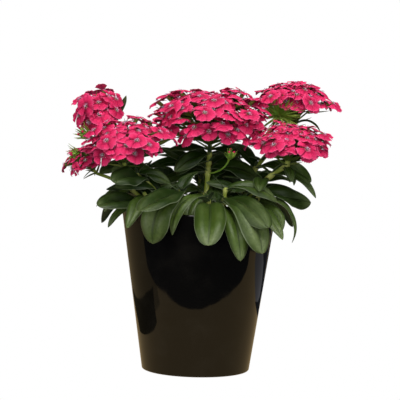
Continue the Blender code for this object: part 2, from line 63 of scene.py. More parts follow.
# How the model's florets and leaves were laid out, which the frame is read by.
PETALS = 5
PLATE_OUTLINE = ((-36.0, 0.60, 0.2), (-25.0, 1.0, 0.6), (25.0, 1.0, 0.6))
LAYER_STEP = 1.5
FLORET_SHIFTS = (0.0, 1.2, -1.2, 2.4, -2.4, 3.6, -3.6, 4.8, -4.8)
FLORET_TILTS = (0.0, 0.12, -0.12, 0.24, -0.24)
FLORET_LEAN = 0.08
FLORET_SWING = 0.2
FLORET_SIZE = (0.94, 1.06)
FULL_PETAL = 12.4
HEAD_EDGE = math.radians(84)
HEAD_SQUARENESS = 2.6
FOOT_SHARE = 0.40
NECK_RUN = 5.0
BRACT_DROP = 4.0
BLADE_THICKNESS = 0.9
LEAF_STEPS = 24
LEAF_TRIES = (
    (0, 0, 0), (0, 8, 6), (9, 0, 0), (-9, 0, 0), (0, -8, -8), (14, 10, 6), (-14, 10, 6), (16, -8, -8),
    (-16, -8, -8), (24, 4, 4), (-24, 4, 4), (0, 18, 14), (30, 14, 10), (-30, 14, 10), (0, -16, -16),
    (40, 0, 0), (-40, 0, 0), (40, 16, 12), (-40, 16, 12), (56, 8, 4), (-56, 8, 4),
)
SAME_PLACE = 0.00003

# What every point of a piece carries for its finish, and the widest fold that is shaded as smooth.
MARKS = ("along", "across", "tone", "under")
SHARP_ANGLE = math.radians(62)

# The direction that the first point of a tube's rings is turned towards.
RING_START = Vector((0.36, 0.93, 0.1))

Colour = tuple[float, float, float]
Place = tuple[float, float, float]
Span = tuple[float, float]
Mark = tuple[float, float, float, float]
Step = tuple[Vector, Vector, Vector, Vector]
Finish = bpy.types.Material


def circled(k: float, count: int, radius: float) -> tuple[float, float]:
    """x and y of step k of count round a circle."""
    return radius * math.cos(math.tau * k / count), radius * math.sin(math.tau * k / count)


def between(side: Vector, other: Vector, angle: float) -> Vector:
    """The direction at an angle from one direction towards another that stands square to it."""
    return side * math.cos(angle) + other * math.sin(angle)


def arc(start: Vector, bend: Vector, end: Vector, t: float) -> Vector:
    """A point of the curve that leaves start towards bend and ends at end, a share t of the way along."""
    return start * (1 - t) ** 2 + bend * (2 * t * (1 - t)) + end * t * t


def progress(value: float, span: Span) -> float:
    """How far a value has come from the start of a span to its end, from 0 to 1."""
    return min(1.0, max(0.0, (value - span[0]) / (span[1] - span[0])))


def random_way(rng: random.Random) -> Vector:
    """A direction drawn from the random numbers."""
    return Vector((rng.uniform(-1, 1), rng.uniform(-1, 1), rng.uniform(-1, 1)))


class Slot(Enum):
    """Names of material slots."""

    POT = "pot"
    COMPOST = "compost"
    FOLIAGE = "foliage"
    PETALS = "petals"


@dataclass(frozen=True)
class HeadPlan:
    """A dome of florets. base is the centre of the ring of its outermost florets. lean tips its axis."""

    name: str
    base: Place
    lean: tuple[float, float]
    across: float
    deep: float
    high: float
    neck: float
    florets: int
    petal: float
    facing: float
    seed: int

    def axes(self) -> tuple[Vector, Vector, Vector]:
        """The head's own directions: across, deep and along its axis."""
        up = Vector((self.lean[0], self.lean[1], 1.0)).normalized()
        across = Vector((0, 1, 0)).cross(up).normalized()
        return across, up.cross(across), up

    def point(self, across: float, deep: float, high: float) -> Vector:
        """Turns millimetres in the head's own directions into a point of the model.

        Args:
            across: Distance across the head.
            deep: Distance towards its back.
            high: Distance along its axis.

        Returns:
            The point in metres.
        """
        a, d, u = self.axes()
        return Vector(self.base) * MM + (a * across + d * deep + u * high) * MM

    def dome(self, down: float, around: float, share: float = 1.0) -> Place:
        """Finds a point of the flat-topped dome, or of a smaller one inside it.

        Args:
            down: Angle from the head's axis.
            around: Angle round the axis.
            share: Size of the dome as a share of the head's.

        Returns:
            Millimetres across, deep and high.
        """
        power = HEAD_SQUARENESS
        squared = (math.sin(down) ** power + abs(math.cos(down)) ** power) ** (-1 / power)
        out, up = math.sin(down) * squared * share, math.cos(down) * squared * share
        return self.across * out * math.cos(around), self.deep * out * math.sin(around), self.high * up

    def neck_point(self) -> Vector:
        """Where the stem's top meets the head."""
        return self.point(0, 0, -self.neck)


@dataclass(frozen=True)
class LeafPlan:
    """A leaf: the height it leaves its stem at, its heading and size, how it rises at the stem and droops at
    the tip, and how far it shows its upper face to the viewer."""

    at: float
    heading: float
    length: float
    width: float
    rise: float
    droop: float
    shows: float = 0.0

    def changed(self, heading: float, rise: float, droop: float) -> "LeafPlan":
        """The same leaf with small changes of its directions, in degrees."""
        return LeafPlan(self.at, self.heading + heading, self.length, self.width, self.rise + rise,
                        self.droop + droop, self.shows)

    def line(self, foot: Vector) -> list[Step]:
        """Follows the midrib in equal steps.

        Args:
            foot: Where the leaf leaves its stem.

        Returns:
            The point and the forward, sideways and upward directions at each step.
        """
        rows, point = [], foot.copy()
        for i in range(LEAF_STEPS + 1):
            s = i / LEAF_STEPS
            heading = math.radians(self.heading)
            elevation = math.radians(self.rise + (self.droop - self.rise) * s ** 1.15)
            flat = math.cos(elevation)
            forward = Vector((math.cos(heading) * flat, math.sin(heading) * flat, math.sin(elevation)))
            level = Vector((-math.sin(heading), math.cos(heading), 0))
            roll = math.radians(self.shows) * math.cos(heading) * min(1.0, 2 * s)
            side = Matrix.Rotation(roll, 3, forward) @ level
            rows.append((point.copy(), forward, side, forward.cross(side)))
            point += forward * (self.length * MM / LEAF_STEPS)
        return rows


@dataclass(frozen=True)
class ShootPlan:
    """A leafy stem. Its tip is either a point or a head's neck, and bow is how early it spreads."""

    name: str
    foot: tuple[float, float]
    tip: tuple[float, ...]
    radius: float
    bow: float
    leaves: tuple[LeafPlan, ...]
    head: str = ""

    def foot_point(self) -> Vector:
        """Where the stem comes out of the compost."""
        return Vector((*self.foot, SOIL_TOP)) * MM

    def tip_point(self) -> Vector:
        """Where the stem's curve ends: its tip, or a little below its head."""
        if not self.head:
            return Vector(self.tip) * MM
        head = head_plan(self.head)
        return head.point(0, 0, -head.neck - NECK_RUN)

    def curve(self, t: float) -> Vector:
        """A point on the stem's curve, from the compost at t 0 to its top at t 1."""
        foot, tip = self.foot_point(), self.tip_point()
        bend = foot.lerp(tip, 0.5)
        bend.z = foot.z + (tip.z - foot.z) * (0.5 + 0.35 * self.bow)
        bend.xy = foot.xy.lerp(tip.xy, 0.5 - 0.3 * self.bow)
        return arc(foot, bend, tip, t)

    def height(self, at: float) -> float:
        """The t at which the stem's curve reaches a height in millimetres."""
        low, high = 0.0, 1.0
        for _ in range(24):
            middle = (low + high) / 2
            if self.curve(middle).z < at * MM:
                low = middle
            else:
                high = middle
        return low


HEADS = (
    HeadPlan("head_centre", (8, 8, 218), (0.0, -0.20), 45, 41, 24, 21, 35, 12.4, 0.60, 3),
    HeadPlan("head_left_front", (-67, -27, 198), (-0.08, -0.34), 30, 28, 16, 18, 20, 12.2, 0.62, 5),
    HeadPlan("head_right_front", (77, -19, 201), (0.08, -0.34), 30, 27, 13, 16, 19, 12.2, 0.62, 7),
    HeadPlan("head_right_back", (84, 46, 233), (0.08, -0.14), 31, 28, 18, 17, 19, 12.2, 0.62, 11),
    HeadPlan("head_left_back", (-93, 24, 222), (-0.20, -0.75), 16, 16, 16, 13, 9, 12.2, 0.72, 13),
    HeadPlan("head_left_low", (-100, -4, 181), (-0.85, -0.55), 15, 14, 11, 11, 8, 8.6, 0.72, 17),
)

SHOOTS = (
    ShootPlan("shoot_front", (8, -36), (8, -42, 154), 1.9, 0.4, (
        LeafPlan(148, -90, 68, 27, -4, -57), LeafPlan(149, -134, 64, 15, 28, -106),
        LeafPlan(138, 80, 38, 16, 56, 20),
    )),
    ShootPlan("shoot_front_right", (20, -34), (22, -40, 162), 2.0, 0.4, (
        LeafPlan(144, -75, 77, 21, 9, -92, 48), LeafPlan(148, -61, 82, 29, 9, -77, 12),
        LeafPlan(152, -59, 73, 25, 3, -38, 33), LeafPlan(160, 8, 50, 20, 20, -52, 40),
    )),
    ShootPlan("shoot_front_left", (-14, -34), (-16, -42, 160), 2.0, 0.4, (
        LeafPlan(151, -125, 65, 29, 13, -112), LeafPlan(157, -120, 67, 26, 1, -26, 42),
        LeafPlan(156, 60, 34, 13, 54, 10),
    )),
    ShootPlan("shoot_left", (-40, -18), (-48, -22, 156), 1.9, 0.4, (
        LeafPlan(145, -142, 53, 24, 7, -9, 52), LeafPlan(152, -107, 55, 15, 0, -63),
        LeafPlan(147, -156, 45, 10, 1, -71, 24), LeafPlan(152, 109, 34, 13, 54, 10),
    )),
    ShootPlan("shoot_right", (45, -20), (52, -26, 158), 1.9, 0.4, (
        LeafPlan(144, -61, 54, 14, -2, -57, 6), LeafPlan(156, 32, 56, 24, 4, -22, 55),
        LeafPlan(144, -38, 38, 14, 10, -85, 36), LeafPlan(153, -3, 60, 7, 5, -122, 27),
    )),
    ShootPlan("stem_centre", (5, -14), (), 2.5, 0.3, (
        LeafPlan(153, -119, 44, 15, 1, -81, 28), LeafPlan(175, 14, 48, 24, 12, -34, 46),
        LeafPlan(181, -166, 34, 17, 18, -73, 40), LeafPlan(154, 72, 58, 20, 34, -16),
        LeafPlan(172, 170, 60, 20, 0, -44, 30), LeafPlan(188, -146, 40, 17, 0, -50, 40),
        LeafPlan(188, 38, 44, 14, 10, -40),
    ), "head_centre"),
    ShootPlan("stem_left_front", (-17, -18), (), 2.2, 0.5, (
        LeafPlan(164, -126, 47, 22, 24, -26, 72), LeafPlan(170, 11, 32, 15, 12, -46, 47),
        LeafPlan(149, 174, 54, 24, 52, 0, 50), LeafPlan(149, -6, 36, 15, 52, 18),
        LeafPlan(164, 116, 46, 16, 32, -18),
    ), "head_left_front"),
    ShootPlan("stem_right_front", (26, -14), (), 2.3, 0.5, (
        LeafPlan(172, -12, 48, 13, 13, -71, 27), LeafPlan(167, -98, 37, 13, 19, -49, 23),
        LeafPlan(182, 43, 47, 13, 32, -19, 41), LeafPlan(150, 36, 54, 19, 26, -32, 20),
        LeafPlan(150, -170, 40, 16, 50, -10, 20), LeafPlan(180, -70, 22, 8, -6, -72),
    ), "head_right_front"),
    ShootPlan("stem_right_back", (22, 14), (), 2.3, 0.4, (
        LeafPlan(154, 30, 58, 19, 40, -24, 20), LeafPlan(154, -130, 40, 16, 54, 6),
        LeafPlan(176, -22, 56, 19, 16, -44, 40), LeafPlan(176, 130, 54, 18, 40, -14, 20),
        LeafPlan(200, 70, 42, 12, 14, -40), LeafPlan(200, -120, 40, 11, 14, -38),
    ), "head_right_back"),
    ShootPlan("stem_left_back", (-20, 12), (), 2.2, 0.45, (
        LeafPlan(172, -138, 54, 18, 26, -36, 40), LeafPlan(152, 92, 60, 20, 52, -18),
        LeafPlan(172, 24, 58, 18, 24, -20, 30), LeafPlan(194, 84, 44, 12, 16, -36),
        LeafPlan(194, -14, 46, 10, 44, -12, 40),
    ), "head_left_back"),
    ShootPlan("stem_left_low", (-33, -3), (), 1.8, 0.7, (
        LeafPlan(148, 131, 54, 20, 26, -16, 44), LeafPlan(156, -150, 34, 10, -10, -66, 30),
    ), "head_left_low"),
    ShootPlan("shoot_back_right", (38, 30), (46, 38, 172), 2.0, 0.4, (
        LeafPlan(142, 38, 72, 24, 28, -78), LeafPlan(146, 84, 66, 21, 34, -66),
        LeafPlan(152, 4, 60, 22, 28, -50, 20), LeafPlan(160, 60, 54, 18, 40, -40),
        LeafPlan(168, 130, 46, 15, 40, -20),
    )),
    ShootPlan("shoot_back", (0, 44), (0, 52, 176), 2.0, 0.4, (
        LeafPlan(142, 92, 72, 25, 30, -86), LeafPlan(146, 66, 68, 20, 28, -70),
        LeafPlan(150, 126, 70, 22, 30, -70), LeafPlan(160, 86, 56, 18, 42, -48),
        LeafPlan(170, 30, 46, 15, 44, -10), LeafPlan(170, 170, 46, 15, 44, -10),
    )),
    ShootPlan("shoot_back_left", (-38, 26), (-46, 32, 168), 2.0, 0.4, (
        LeafPlan(142, 146, 72, 24, 28, -78), LeafPlan(146, 104, 66, 21, 34, -66),
        LeafPlan(152, -176, 58, 21, 26, -48, 20), LeafPlan(158, 128, 50, 17, 48, -26),
    )),
    ShootPlan("shoot_middle", (2, 22), (2, 26, 184), 2.0, 0.3, (
        LeafPlan(164, 170, 50, 19, 50, 4, 30), LeafPlan(180, 110, 50, 17, 36, -20),
        LeafPlan(172, 60, 46, 17, 44, -16),
    )),
)


# Small leaves high on the flowering stems, which the model leaves out.
SMALL_LEAVES = {
    "stem_centre": (LeafPlan(200, -168, 38, 11, 8, -12, 40), LeafPlan(198, -20, 30, 10, 6, -30, 40)),
    "stem_left_back": (LeafPlan(205, -30, 40, 12, 50, 66, 80),),
    "stem_right_front": (LeafPlan(178, -40, 24, 7, 10, -110), LeafPlan(179, -64, 20, 6, 0, -95)),
    "stem_right_back": (LeafPlan(209, -15, 38, 6, 64, -80, 20),),
}


# Florets at the rims of the heads, in millimetres, which close the gaps between one head and the next.
RIM_FLORETS = {
    "head_centre": (
        (-31, 10, 240), (-19, 6, 244), (-39, 12, 234), (37, 12, 244), (46, 6, 238), (53, 4, 230),
        (-40, 6, 224), (-37, -4, 213), (-27, -14, 208), (-13, -20, 205), (43, -8, 211), (37, -16, 205),
        (26, 10, 245), (18, -28, 217),
    ),
    "head_left_front": ((-25, -24, 204), (-33, -14, 211), (-44, -10, 216), (-29, -30, 208)),
    "head_right_front": ((42, -14, 201), (48, -4, 210)),
    "head_right_back": ((53, 14, 238), (60, 10, 241), (84, 38, 254), (73, 40, 251), (97, 44, 252)),
    "head_left_back": ((-76, 20, 236), (-75, 16, 226), (-108, 22, 235)),
}


def head_plan(name: str) -> HeadPlan:
    """The plan of the head with that name."""
    return next(plan for plan in HEADS if plan.name == name)


class Link:
    """An output socket of a recipe's nodes. Arithmetic on it adds the Math nodes that work it out."""

    def __init__(self, recipe: "Recipe", socket: bpy.types.NodeSocket) -> None:
        """Wraps a socket.

        Args:
            recipe: The recipe whose nodes the socket belongs to.
            socket: The output socket.
        """
        self.recipe = recipe
        self.socket = socket

    def maths(self, operation: str, first: "Number", second: "Number" = 0.0) -> "Link":
        """Adds one Math node.

        Args:
            operation: The node's operation.
            first: Its first number.
            second: Its second number, where the operation has one.

        Returns:
            The result.
        """
        return self.recipe.node("ShaderNodeMath", {"operation": operation}, {0: first, 1: second})

    def __add__(self, other: "Number") -> "Link":
        """self + other."""
        return self.maths("ADD", self, other)

    def __radd__(self, other: "Number") -> "Link":
        """other + self."""
        return self.maths("ADD", other, self)

    def __sub__(self, other: "Number") -> "Link":
        """self - other."""
        return self.maths("SUBTRACT", self, other)

    def __rsub__(self, other: "Number") -> "Link":
        """other - self."""
        return self.maths("SUBTRACT", other, self)

    def __mul__(self, other: "Number") -> "Link":
        """self * other."""
        return self.maths("MULTIPLY", self, other)

    def __rmul__(self, other: "Number") -> "Link":
        """other * self."""
        return self.maths("MULTIPLY", other, self)

    def __abs__(self) -> "Link":
        """The size of the number, without its sign."""
        return self.maths("ABSOLUTE", self)

    def sine(self) -> "Link":
        """The sine of the number, taken in radians."""
        return self.maths("SINE", self)

    def ramp(self, low: float, high: float) -> "Link":
        """A smooth step of the number.

        Args:
            low: Where the step leaves 0.
            high: Where it reaches 1, which may lie below low for a falling step.

        Returns:
            A number from 0 to 1.
        """
        settings = {"interpolation_type": "SMOOTHSTEP"}
        if low < high:
            return self.recipe.node("ShaderNodeMapRange", settings, {0: self, 1: low, 2: high})
        return 1.0 - self.recipe.node("ShaderNodeMapRange", settings, {0: self, 1: high, 2: low})


Number = Link | float


class Recipe:
    """A material under construction."""

    MIX_FACTOR, MIX_FIRST, MIX_SECOND, MIX_RESULT = 0, 6, 7, 2

    def __init__(self, name: str) -> None:
        """Starts a material with no nodes but its output.

        Args:
            name: The material's name.
        """
        self.material = bpy.data.materials.new(name)
        self.material.use_nodes = True
        self.tree = self.material.node_tree
        self.tree.nodes.clear()
        self.output = self.tree.nodes.new("ShaderNodeOutputMaterial")

    def node(self, kind: str, settings: dict[str, object], inputs: dict[int | str, object],
             output: int | str = 0) -> Link:
        """Adds a node of any type.

        Args:
            kind: The node's type.
            settings: Its settings, which are set first.
            inputs: The value or link of each of its sockets that is used.
            output: The output socket to return.

        Returns:
            That output.
        """
        made = self.tree.nodes.new(kind)
        for name, value in settings.items():
            setattr(made, name, value)
        for key, value in inputs.items():
            self.feed(made.inputs[key], value)
        return Link(self, made.outputs[output])

    def feed(self, socket: bpy.types.NodeSocket, value: object) -> None:
        """Links a socket, or sets its value.

        Args:
            socket: The input socket.
            value: A link, a number, a colour or a vector.
        """
        if isinstance(value, Link):
            self.tree.links.new(value.socket, socket)
        elif socket.type == "RGBA":
            socket.default_value = (*value, 1.0)
        else:
            socket.default_value = value

    def mark(self, name: str) -> Link:
        """One of the shading coordinates that the piece carries."""
        return self.node("ShaderNodeAttribute", {"attribute_name": name}, {}, "Fac")

    def place(self) -> Link:
        """The point in the piece's own frame, in metres."""
        return self.node("ShaderNodeTexCoord", {}, {}, "Object")

    def vector(self, x: Number, y: Number, z: Number) -> Link:
        """Three numbers as a vector."""
        return self.node("ShaderNodeCombineXYZ", {}, {0: x, 1: y, 2: z})

    def noise(self, place: Link, scale: float, detail: float = 3.0, roughness: float = 0.5) -> Link:
        """Adds cloudy noise.

        Args:
            place: Where it is read.
            scale: How many clouds there are to a unit.
            detail: How many finer layers it has.
            roughness: How strong those layers are.

        Returns:
            A number about 0.5.
        """
        inputs = {"Vector": place, "Scale": scale, "Detail": detail, "Roughness": roughness}
        return self.node("ShaderNodeTexNoise", {}, inputs, "Fac")

    def mix(self, factor: Number, first: object, second: object) -> Link:
        """Mixes two colours.

        Args:
            factor: The share of the second.
            first: The first colour, or a link to one.
            second: The second colour, or a link to one.

        Returns:
            The mixed colour.
        """
        settings = {"data_type": "RGBA", "clamp_factor": True}
        inputs = {self.MIX_FACTOR: factor, self.MIX_FIRST: first, self.MIX_SECOND: second}
        return self.node("ShaderNodeMix", settings, inputs, self.MIX_RESULT)

    def bump(self, height: Link, depth: float, strength: float = 1.0) -> Link:
        """Turns a height into a normal.

        Args:
            height: A number about 0 to 1.
            depth: How deep a height of 1 is, in metres.
            strength: How much of it shows.

        Returns:
            The normal.
        """
        return self.node("ShaderNodeBump", {}, {"Strength": strength, "Distance": depth, "Height": height})

    def surface(self, **sockets: object) -> Finish:
        """Ends the recipe with a Principled surface.

        Args:
            sockets: The values and links of its sockets, with _ for a space in a name.

        Returns:
            The material.
        """
        inputs = {name.replace("_", " "): value for name, value in sockets.items()}
        shader = self.node("ShaderNodeBsdfPrincipled", {}, inputs)
        self.tree.links.new(shader.socket, self.output.inputs[0])
        return self.material

    def glow(self, colour: Colour, strength: float) -> Finish:
        """Ends the recipe with a plain light of its own.

        Args:
            colour: The light's colour.
            strength: Its strength.

        Returns:
            The material.
        """
        shader = self.node("ShaderNodeEmission", {}, {"Color": colour, "Strength": strength})
        self.tree.links.new(shader.socket, self.output.inputs[0])
        return self.material


@dataclass(frozen=True)
class GlossyPlastic:
    """The pot's black plastic, polished, with a few soft scuffs."""

    name: str = "pot_gloss_black"
    body: Colour = (0.0040, 0.0036, 0.0030)
    worn: Colour = (0.0090, 0.0080, 0.0065)
    polish: float = 0.045
    scuff: float = 0.05

    def material(self) -> Finish:
        """Builds the finish."""
        recipe = Recipe(self.name)
        place = recipe.place()
        clouds = recipe.noise(place, 38.0, 4.0, 0.6).ramp(0.45, 0.8)
        flow = recipe.noise(place, 14.0, 2.0)
        return recipe.surface(
            Base_Color=recipe.mix(clouds, self.body, self.worn),
            Roughness=self.polish + self.scuff * clouds,
            Normal=recipe.bump(flow, 0.0009, 0.25),
            IOR=1.5,
        )


@dataclass(frozen=True)
class PetalSkin:
    """Velvety deep pink petals with pale lilac lines in the throat. A crimson eye mark with painted shade
    darkens them towards the throat, painted shade darkens their sides where they overlap, and painted light
    brightens their outer ends and toothed edges.
    """

    name: str = "petal_deep_pink"
    deep: Colour = (0.52, 0.012, 0.075)
    bright: Colour = (0.76, 0.024, 0.125)
    # Painted light at the petals' outer ends.
    rim: Colour = (0.84, 0.050, 0.190)
    # The crimson eye mark. It also paints the shade at the throat and between the petals.
    ring: Colour = (0.34, 0.005, 0.050)
    eye: Colour = (0.62, 0.42, 0.62)
    back: Colour = (0.50, 0.045, 0.140)
    # A painted highlight on the toothed outer edge.
    painted_edge_highlight: Colour = (0.92, 0.20, 0.40)

    def material(self) -> Finish:
        """Builds the finish."""
        recipe = Recipe(self.name)
        along, across, tone = recipe.mark("along"), recipe.mark("across"), recipe.mark("tone")
        rays = recipe.vector(across * 9.0, along * 1.6, tone * 40.0)
        streaks = recipe.noise(rays, 2.2, 4.0, 0.6)
        clouds = recipe.noise(recipe.place(), 160.0, 2.0)
        base = recipe.mix((streaks * 0.7 + tone * 0.45 - 0.05).ramp(0.15, 0.85), self.deep, self.bright)
        # Painted light: each petal grows lighter towards its outer end.
        base = recipe.mix(along.ramp(0.50, 1.05) * 0.60, base, self.rim)
        base = recipe.mix(clouds.ramp(0.5, 0.8) * 0.25, base, self.deep)
        # The crimson eye mark, with painted shade towards the throat.
        eye_mark_and_shade = along.ramp(0.06, 0.16) * along.ramp(0.60, 0.22)
        base = recipe.mix(eye_mark_and_shade * (0.45 + 0.5 * streaks.ramp(0.35, 0.6)), base, self.ring)
        base = recipe.mix(recipe.mark("under") * 0.8, base, self.back)
        lines = along.ramp(0.26, 0.10) * (across * 9.0).sine().ramp(-0.2, 0.7)
        base = recipe.mix(lines * 0.6, base, self.eye)
        # Painted shade: the sides of each petal darken where the petals overlap.
        base = recipe.mix(abs(across).ramp(0.72, 1.0) * 0.35, base, self.ring)
        # Painted highlight along the toothed outer edge.
        base = recipe.mix(along.ramp(0.88, 1.0) * 0.34, base, self.painted_edge_highlight)
        height = streaks * 0.8 + abs(across).ramp(0.10, 0.0) * -0.5
        return recipe.surface(
            Base_Color=base,
            Roughness=0.50 + 0.2 * streaks,
            Normal=recipe.bump(height, 0.0004, 0.7),
            Specular_IOR_Level=0.14,
        )


@dataclass(frozen=True)
class LeafSkin:
    """Smooth grey-green leaves with a pale midrib, close parallel veins and a thin pale margin, which is
    partly painted rim light. Painted shade darkens each leaf's foot, its midrib groove and the sides of its
    blade, and a grey-green bloom with painted sheen pales its outer part.
    """

    name: str = "leaf_grey_green"
    dark: Colour = (0.010, 0.026, 0.002)
    light: Colour = (0.074, 0.124, 0.017)
    # Grey-green bloom and painted sheen.
    bloom_and_sheen: Colour = (0.185, 0.225, 0.105)
    rib: Colour = (0.120, 0.170, 0.050)
    # Painted shade in the midrib's groove.
    groove: Colour = (0.012, 0.026, 0.005)
    # A pale margin, partly painted rim light.
    margin: Colour = (0.200, 0.240, 0.140)
    back: Colour = (0.085, 0.120, 0.060)
    dry: Colour = (0.200, 0.160, 0.060)
    veins: float = 15.0

    def material(self) -> Finish:
        """Builds the finish."""
        recipe = Recipe(self.name)
        along, across, tone = recipe.mark("along"), recipe.mark("across"), recipe.mark("tone")
        under = recipe.mark("under")
        place = recipe.place()
        clouds = recipe.noise(place, 55.0, 3.0, 0.55)
        fine = recipe.noise(place, 420.0, 3.0, 0.6)
        wander = recipe.noise(recipe.vector(across * 2.0, along * 3.0, tone * 50.0), 1.5, 2.0)
        veins = ((across + wander * 0.30) * self.veins).sine().ramp(0.1, 1.0) * wander.ramp(0.35, 0.65)
        # Painted shade: each leaf darkens towards its foot and lightens towards its tip, and the tone mark's
        # painted light and shade carries over; the clouds vary it.
        shade = tone * 0.70 + along * 0.55 + clouds * 0.5 - 0.45
        base = recipe.mix(shade.ramp(0.0, 1.0), self.dark, self.light)
        # Bloom and painted sheen: grey-green over the outer part of the leaf, more on paler-toned leaves.
        bloom_and_sheen_share = (clouds * 0.8 + along * 0.45).ramp(0.55, 0.95) * (0.15 + 0.55 * tone)
        base = recipe.mix(bloom_and_sheen_share, base, self.bloom_and_sheen)
        base = recipe.mix(veins * 0.10, base, self.rib)
        base = recipe.mix(fine.ramp(0.35, 0.75) * 0.34, base, self.dark)
        base = recipe.mix(under * 0.7, base, self.back)
        rib = abs(across - 0.03).ramp(0.050, 0.015) * (1.0 - 0.75 * along)
        # Painted shade darkens the midrib's groove.
        base = recipe.mix(abs(across).ramp(0.15, 0.03) * 0.9 * (1.0 - 0.55 * along), base, self.groove)
        base = recipe.mix(rib * 0.35, base, self.rib)
        # Painted shade: the blade darkens towards its sides, where they curl down.
        base = recipe.mix(abs(across).ramp(0.55, 0.95) * 0.45, base, self.dark)
        # A thin pale line at the margin, partly painted rim light.
        base = recipe.mix(abs(across).ramp(0.94, 0.99) * 0.6, base, self.margin)
        base = recipe.mix(along.ramp(0.975, 1.0) * 0.5, base, self.dry)
        height = veins * 0.3 + fine * 0.25 - rib * 0.8
        return recipe.surface(
            Base_Color=base,
            Roughness=0.34 + 0.22 * clouds,
            Normal=recipe.bump(height, 0.0005, 0.8),
            Specular_IOR_Level=0.30,
        )


@dataclass(frozen=True)
class GreenSkin:
    """The green of stems, calyxes and bracts. The mark "under" stands for knuckles and joints here."""

    name: str
    foot: Colour
    middle: Colour
    tip: Colour
    joint: Colour
    grooves: float

    def material(self) -> Finish:
        """Builds the finish."""
        recipe = Recipe(self.name)
        along, across, tone = recipe.mark("along"), recipe.mark("across"), recipe.mark("tone")
        place = recipe.place()
        streaks = recipe.noise(recipe.vector(across * 6.0, along * 2.0, tone * 30.0), 2.0, 3.0, 0.6)
        clouds = recipe.noise(place, 90.0, 3.0)
        base = recipe.mix(along.ramp(0.0, 0.6), self.foot, self.middle)
        base = recipe.mix(along.ramp(0.7, 1.0), base, self.tip)
        base = recipe.mix(streaks.ramp(0.4, 0.7) * 0.35, base, self.foot)
        base = recipe.mix((clouds + tone - 0.5).ramp(0.4, 1.0) * 0.3, base, self.joint)
        base = recipe.mix(recipe.mark("under") * 0.8, base, self.joint)
        ridges = (across * self.grooves).sine()
        return recipe.surface(
            Base_Color=base,
            Roughness=0.42 + 0.2 * streaks,
            Normal=recipe.bump(ridges * 0.5 + streaks, 0.0003, 0.7),
            Specular_IOR_Level=0.4,
        )


STEM_SKIN = GreenSkin("stem_olive", (0.150, 0.180, 0.018), (0.230, 0.290, 0.034), (0.270, 0.360, 0.055),
                      (0.440, 0.460, 0.130), 19.0)
CALYX_SKIN = GreenSkin("calyx_green", (0.095, 0.150, 0.022), (0.140, 0.205, 0.034), (0.170, 0.090, 0.040),
                       (0.220, 0.260, 0.055), 31.0)
BRACT_SKIN = GreenSkin("bract_green", (0.190, 0.330, 0.036), (0.150, 0.310, 0.030), (0.280, 0.380, 0.055),
                       (0.340, 0.440, 0.080), 13.0)


@dataclass(frozen=True)
class AntherSkin:
    """Pale threads and lilac-grey anthers."""

    name: str = "anther_lilac"
    thread: Colour = (0.80, 0.42, 0.60)
    powder: Colour = (0.62, 0.48, 0.66)
    dust: Colour = (0.75, 0.72, 0.80)

    def material(self) -> Finish:
        """Builds the finish."""
        recipe = Recipe(self.name)
        dust = recipe.noise(recipe.place(), 2600.0, 3.0)
        base = recipe.mix(recipe.mark("along").ramp(0.45, 0.55), self.thread, self.powder)
        base = recipe.mix(dust.ramp(0.4, 0.8) * 0.4, base, self.dust)
        return recipe.surface(Base_Color=base, Roughness=0.7 + 0.2 * dust, Normal=recipe.bump(dust, 0.0001))


@dataclass(frozen=True)
class CompostSkin:
    """Dark damp compost with brown fibres and paler crumbs."""

    name: str = "compost_dark"
    damp: Colour = (0.012, 0.008, 0.005)
    dry: Colour = (0.060, 0.038, 0.022)
    fibre: Colour = (0.130, 0.085, 0.045)

    def material(self) -> Finish:
        """Builds the finish."""
        recipe = Recipe(self.name)
        place = recipe.place()
        coarse = recipe.noise(place, 130.0, 5.0, 0.65)
        fine = recipe.noise(place, 700.0, 3.0, 0.6)
        base = recipe.mix(coarse.ramp(0.35, 0.7), self.damp, self.dry)
        base = recipe.mix(fine.ramp(0.62, 0.75) * (0.3 + 0.7 * recipe.mark("tone")), base, self.fibre)
        return recipe.surface(
            Base_Color=base,
            Roughness=0.80 + 0.15 * fine,
            Normal=recipe.bump(coarse + fine * 0.5, 0.0015),
            Specular_IOR_Level=0.3,
        )


